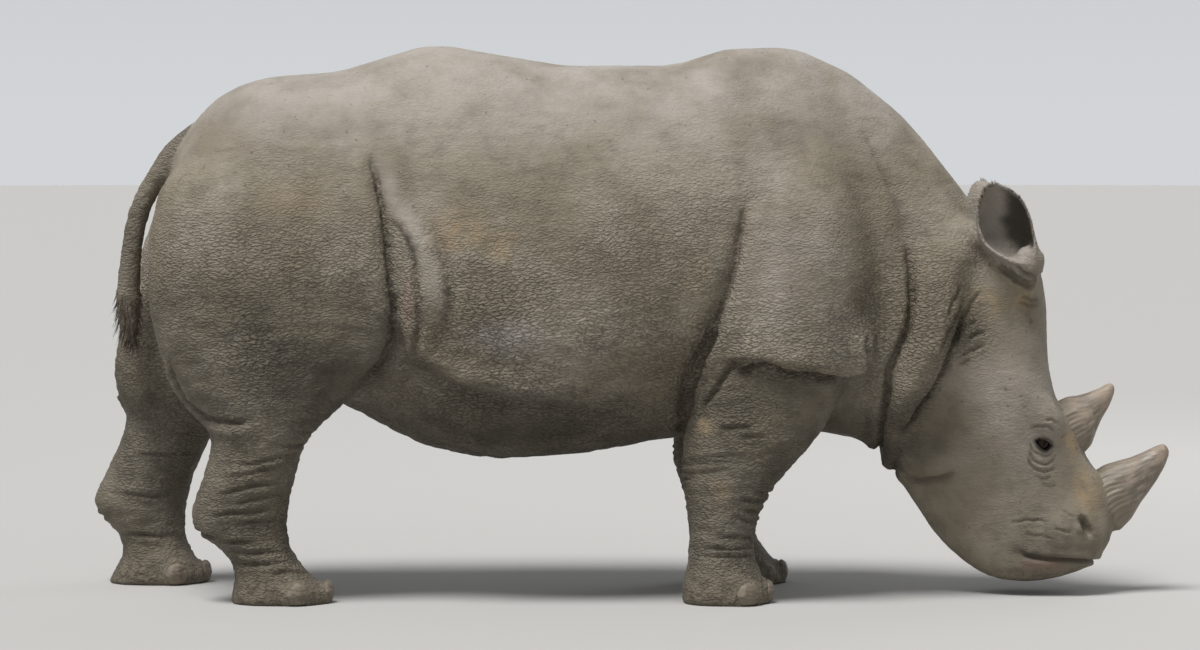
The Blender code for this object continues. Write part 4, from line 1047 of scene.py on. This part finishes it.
for name in HORNS:
    horn = recast(name, "fibre", HORN_FINE, HORN_ROUNDS)
    at, out = points_of(horn.data), points_of(horn.data, "normal")
    along = at @ np.array(HORN_GROWS)
    share = (along - along.min()) / (along.max() - along.min())
    collar = 1 - eased((share - HORN_PLUG) / 0.20)
    ahead = at @ np.array((HORN_GROWS.z, 0.0, -HORN_GROWS.x))
    turn = np.arctan2(at[:, 1], ahead - np.median(ahead))
    ridges = np.sin(turn * 31 + 2.5 * np.sin(along * 45)) + 0.7 * np.sin(turn * 13 + 3.0)
    at += out * (HORN_PROUD + (HORN_RIDGE + COLLAR_RIDGE * collar) * ridges)[:, None]
    set_points(horn.data, at)
    noted(horn.data, "tip", eased((share - 0.72) / 0.28))
    noted(horn.data, "collar", collar)
    noted(horn.data, "grime", np.full(len(at), HORN_GRIME[name]))
    shaded(horn, horn_fibre)
    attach(horn, "root")
    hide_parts(name)

# ---------------------------------------------------------------- Eyes
# A dark wet ball sits behind each slit, with a near-black pupil in a deep brown iris. Its front
# swells a little where the clear cornea lies over the iris.

IRIS_BROWN, EYE_BLACK = (0.018, 0.010, 0.006), (0.003, 0.0025, 0.0025)
PUPIL_EDGE, IRIS_EDGE = (0.0055, 0.0075), (0.0125, 0.0150)
CORNEA_FROM, CORNEA_SWELL = 0.82, 0.25

for side in SIDES:
    centre, out, forward, upward = eye_set[side]
    shape = bmesh.new()
    bmesh.ops.create_uvsphere(shape, u_segments=48, v_segments=32, radius=EYE_RADIUS)
    for vertex in shape.verts:
        vertex.co *= 1.0 + CORNEA_SWELL * max(0.0, vertex.co.z / EYE_RADIUS - CORNEA_FROM)
    turn = Vector(out).to_track_quat("Z", "Y").to_matrix().to_4x4()
    bmesh.ops.transform(shape, matrix=Matrix.Translation(Vector(centre)) @ turn, verts=shape.verts)
    ball = linked(f"eyeball_{side}", meshed(shape, f"eyeball_{side}"))
    wet_eye, tree, shader = material_named(f"wet_eye_{side}")
    spot = node_of(tree, "ShaderNodeTexCoord").outputs["Object"]
    front = tuple(Vector(centre) + Vector(out) * EYE_RADIUS)
    apart = node_of(tree, "ShaderNodeVectorMath", {0: spot, 1: front},
                    operation="DISTANCE").outputs["Value"]
    tint = mixed(tree, between(tree, apart, *PUPIL_EDGE), EYE_BLACK, IRIS_BROWN)
    feed(tree, shader["Base Color"],
         mixed(tree, between(tree, apart, *IRIS_EDGE), tint, EYE_BLACK))
    feed(tree, shader["Roughness"], 0.06)
    feed(tree, shader["IOR"], 1.34)
    feed(tree, shader["Specular IOR Level"], 0.28)
    shaded(ball, wet_eye)
    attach(ball, "root")
    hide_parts(f"eye_{side}")

# ---------------------------------------------------------------- Toenails
# Each foot stands on three broad hoof-like nails of grey-brown horn, ridged level across and worn
# flat below, with mud dried on them.

NAIL_FINE, NAIL_ROUNDS = 0.0030, 8
NAIL_PROUD, NAIL_RIDGE, NAIL_CLEAR = 0.0030, 0.0004, 0.0040
NAIL_PALE, NAIL_DARK = (0.210, 0.172, 0.128), (0.105, 0.085, 0.062)

nail_horn, tree, shader = material_named("nail_horn")
spot = node_of(tree, "ShaderNodeTexCoord").outputs["Object"]
ridge = noise_of(tree, spot, 1.0, 2.0, 0.5, (18.0, 18.0, 260.0))
blotch = noise_of(tree, spot, 45.0, 4.0, 0.65)
tint = mixed(tree, between(tree, blotch, 0.35, 0.65), NAIL_DARK, NAIL_PALE)
muddy = muddied(tree, spot, tint, 24.0, 0.48, 0.60, 1.0, MUD_BROWN)
surfaced(tree, shader, muddy["Colour"], between(tree, blotch, 0.3, 0.7, 0.45, 0.75),
         maths(tree, "ADD", ridge, scaled(tree, blotch, 0.7)), 0.0016)

for name in NAIL_NAMES:
    plate = recast(name, "plate", NAIL_FINE, NAIL_ROUNDS)
    at, out = points_of(plate.data), points_of(plate.data, "normal")
    rings = np.sin(at[:, 2] * 520 + 2.0 * np.sin(at[:, 0] * 90)) * NAIL_RIDGE
    at += out * (NAIL_PROUD + rings)[:, None]
    at[:, 2] = np.maximum(at[:, 2], NAIL_CLEAR)
    set_points(plate.data, at)
    shaded(plate, nail_horn)
    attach(plate, "root")
    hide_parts(name)

# ---------------------------------------------------------------- Hair
# The hide is bare but for a fringe of short dark hair along each ear's rim, stiff bristles round
# the tail's end, and lashes on the upper lids. Each hair is a thin tapered spike.

HAIR_DARK, HAIR_RUST = (0.024, 0.018, 0.013), (0.100, 0.060, 0.038)
HAIR_PATCH, PATCH_GRAIN = 0.003, 300.0

hair, tree, shader = material_named("hair")
spot = node_of(tree, "ShaderNodeTexCoord").outputs["Object"]
cloud = between(tree, noise_of(tree, spot, 90.0, 2.0), 0.35, 0.65)
feed(tree, shader["Base Color"], mixed(tree, cloud, HAIR_DARK, HAIR_RUST))
feed(tree, shader["Roughness"], 0.5)

# One spike stands on each root, as long and the way that the root says. Every spike has its own
# small patch of the flat map, which its points fill.
hair_tree = bpy.data.node_groups.new("hair_spikes", "GeometryNodeTree")
given, result = tree_inputs(hair_tree, Thickness="Float", Finish="Material")
spike = node_of(hair_tree, "GeometryNodeMeshCone", {
    "Vertices": 4, "Side Segments": 3, "Radius Top": 0.12, "Radius Bottom": 1.0, "Depth": 1.0})
heading, long, root_patch = (
    node_of(hair_tree, "GeometryNodeInputNamedAttribute", {"Name": name},
            data_type=kind).outputs["Attribute"]
    for name, kind in (("heading", "FLOAT_VECTOR"), ("long", "FLOAT"), ("patch", "FLOAT_VECTOR")))
align = node_of(hair_tree, "FunctionNodeAlignRotationToVector", {"Vector": heading}, axis="Z")
sizes = node_of(hair_tree, "ShaderNodeCombineXYZ", {
    "X": given["Thickness"], "Y": given["Thickness"], "Z": long})
stood = node_of(hair_tree, "GeometryNodeInstanceOnPoints", {
    "Points": given["Geometry"], "Instance": spike.outputs["Mesh"],
    "Rotation": align.outputs["Rotation"], "Scale": sizes.outputs[0]})
solid = node_of(hair_tree, "GeometryNodeRealizeInstances", {0: stood.outputs[0]})
place = node_of(hair_tree, "GeometryNodeInputPosition").outputs[0]
within = vector_maths(hair_tree, "FRACTION",
                      vector_maths(hair_tree, "MULTIPLY", place, (PATCH_GRAIN,) * 3))
patch_at = vector_maths(hair_tree, "ADD", root_patch, vector_maths(
    hair_tree, "MULTIPLY", within, (HAIR_PATCH, HAIR_PATCH, 0.0)))
laid_flat = node_of(hair_tree, "GeometryNodeStoreNamedAttribute", {
    "Geometry": solid.outputs[0], "Name": "OFBake", "Value": patch_at},
    data_type="FLOAT2", domain="CORNER")
coloured = node_of(hair_tree, "GeometryNodeSetMaterial", {
    "Geometry": laid_flat.outputs[0], "Material": given["Finish"]})
feed(hair_tree, result["Geometry"], coloured.outputs[0])


def haired(name, roots, headings, lengths, patches, thickness):
    """A piece of hair from its roots: where each stands, where it points, how long it is, and its
    patch on the flat map."""
    mesh = bpy.data.meshes.new(name)
    mesh.from_pydata([tuple(root) for root in roots], [], [])
    for label, values in (("heading", headings), ("patch", patches)):
        attribute = mesh.attributes.new(label, "FLOAT_VECTOR", "POINT")
        attribute.data.foreach_set("vector", np.asarray(values, np.float32).ravel())
    noted(mesh, "long", lengths)
    piece = grown(linked(name, mesh), hair_tree, Thickness=thickness, Finish=hair)
    shaded(piece)
    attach(piece, "root")


def unit(rows):
    """The rows made one long each."""
    return rows / (np.linalg.norm(rows, axis=1)[:, None] + 1e-9)


EAR_FRINGE, FRINGE_LENGTH, FRINGE_THICK = 380, (0.005, 0.012), 0.0006
TAIL_BRISTLES, BRISTLE_LENGTH, BRISTLE_THICK = 460, (0.030, 0.075), 0.0009
LASHES, LASH_LENGTH, LASH_THICK = 46, (0.012, 0.020), 0.0005
RIM_FROM, RIM_SLICE, TAIL_END = 0.30, 0.006, 0.16
chance = np.random.default_rng(11)

for side, sign in SIDES.items():
    # The rim: at each height, the two edges of the gap where the roll of the ear is open.
    chosen = np.nonzero((parts == "ear") & (points[:, 1] * sign > 0))[0]
    low, high = points[chosen, 2].min(), points[chosen, 2].max()
    rims = ([], [])
    for level in np.linspace(low + RIM_FROM * (high - low), high - RIM_SLICE, 40):
        ring = chosen[np.abs(points[chosen, 2] - level) < RIM_SLICE]
        if len(ring) < 6:
            continue
        angles = np.arctan2(*(points[ring] - points[ring].mean(0))[:, (1, 0)].T)
        turn = np.sort(angles)
        widest = np.diff(np.append(turn, turn[0] + 2 * math.pi)).argmax()
        for rim, angle in zip(rims, (turn[widest], turn[(widest + 1) % len(turn)])):
            rim.append(points[ring[np.abs(angles - angle).argmin()]])
    roots, headings, lengths, patches = [], [], [], []
    core = points[chosen].mean(0)
    for half, rim in enumerate(rims):
        rim = np.array(rim)
        for count in range(EAR_FRINGE // 2):
            share = chance.uniform(0.05, 1.0) ** 0.7 * (len(rim) - 1)
            first = min(int(share), len(rim) - 2)
            root = rim[first] + (rim[first + 1] - rim[first]) * (share - first)
            root = root + chance.normal(0, 0.0014, 3)
            away = unit((root - core)[None])[0] + np.array((-0.15, 0.0, 0.35))
            away = away + chance.normal(0, 0.22, 3)
            roots.append(root)
            headings.append(away)
            lengths.append(chance.uniform(*FRINGE_LENGTH) * (0.6 + 0.9 * (share / len(rim)) ** 3))
            patches.append((0.05 + 0.9 * share / len(rim), 0.25 + 0.5 * half, 0.0))
    haired(f"ear_fringe_{side}", roots, unit(np.array(headings)), lengths, patches,
           FRINGE_THICK)

# Bristles, longer towards the tail's tip.
tail = np.nonzero(parts == "tail")[0]
tail_low = points[tail, 2].min()
ends = tail[points[tail, 2] < tail_low + TAIL_END]
picked = chance.choice(ends, TAIL_BRISTLES)
share = (points[picked, 2] - tail_low) / TAIL_END
flat = points[picked] - points[ends].mean(0)
headings = outward[picked] * 0.35 + np.array((0.0, 0.0, -1.0))
headings = headings + chance.normal(0, 0.12, (len(picked), 3))
lengths = np.interp(chance.uniform(0, 1, len(picked)), (0, 1), BRISTLE_LENGTH)
lengths = lengths * (1.0 - 0.55 * share)
turn = np.arctan2(flat[:, 1], flat[:, 0])
patches = np.stack([0.05 + 0.9 * (turn + math.pi) / (2 * math.pi), 0.05 + 0.9 * share,
                    np.zeros(len(picked))], 1)
haired("tail_bristles", points[picked], unit(headings), lengths, patches, BRISTLE_THICK)

# Lashes, in one row along the edge of each upper lid.
for side in SIDES:
    centre, out, forward, upward = eye_set[side]
    share = np.linspace(-0.9, 0.9, LASHES)
    a = share * SLIT_HALF
    b = SLIT_UP * np.maximum(1 - share ** 2, 0.0) ** 0.65 * (1 - 0.20 * share) + 0.0022
    h = np.sqrt(np.maximum((EYE_RADIUS + LID_THICK) ** 2 - a ** 2 - b ** 2, 0.0)) - 0.001
    roots = centre + a[:, None] * forward + b[:, None] * upward + h[:, None] * out
    headings = out + 0.15 * upward + share[:, None] * 0.5 * forward
    headings = headings - 0.55 * upward + chance.normal(0, 0.10, (LASHES, 3))
    lengths = chance.uniform(*LASH_LENGTH, LASHES)
    patches = np.stack([0.1 + 0.8 * (share + 1) / 2, np.full(LASHES, 0.5), np.zeros(LASHES)], 1)
    haired(f"lashes_{side}", roots, unit(headings), lengths, patches, LASH_THICK)
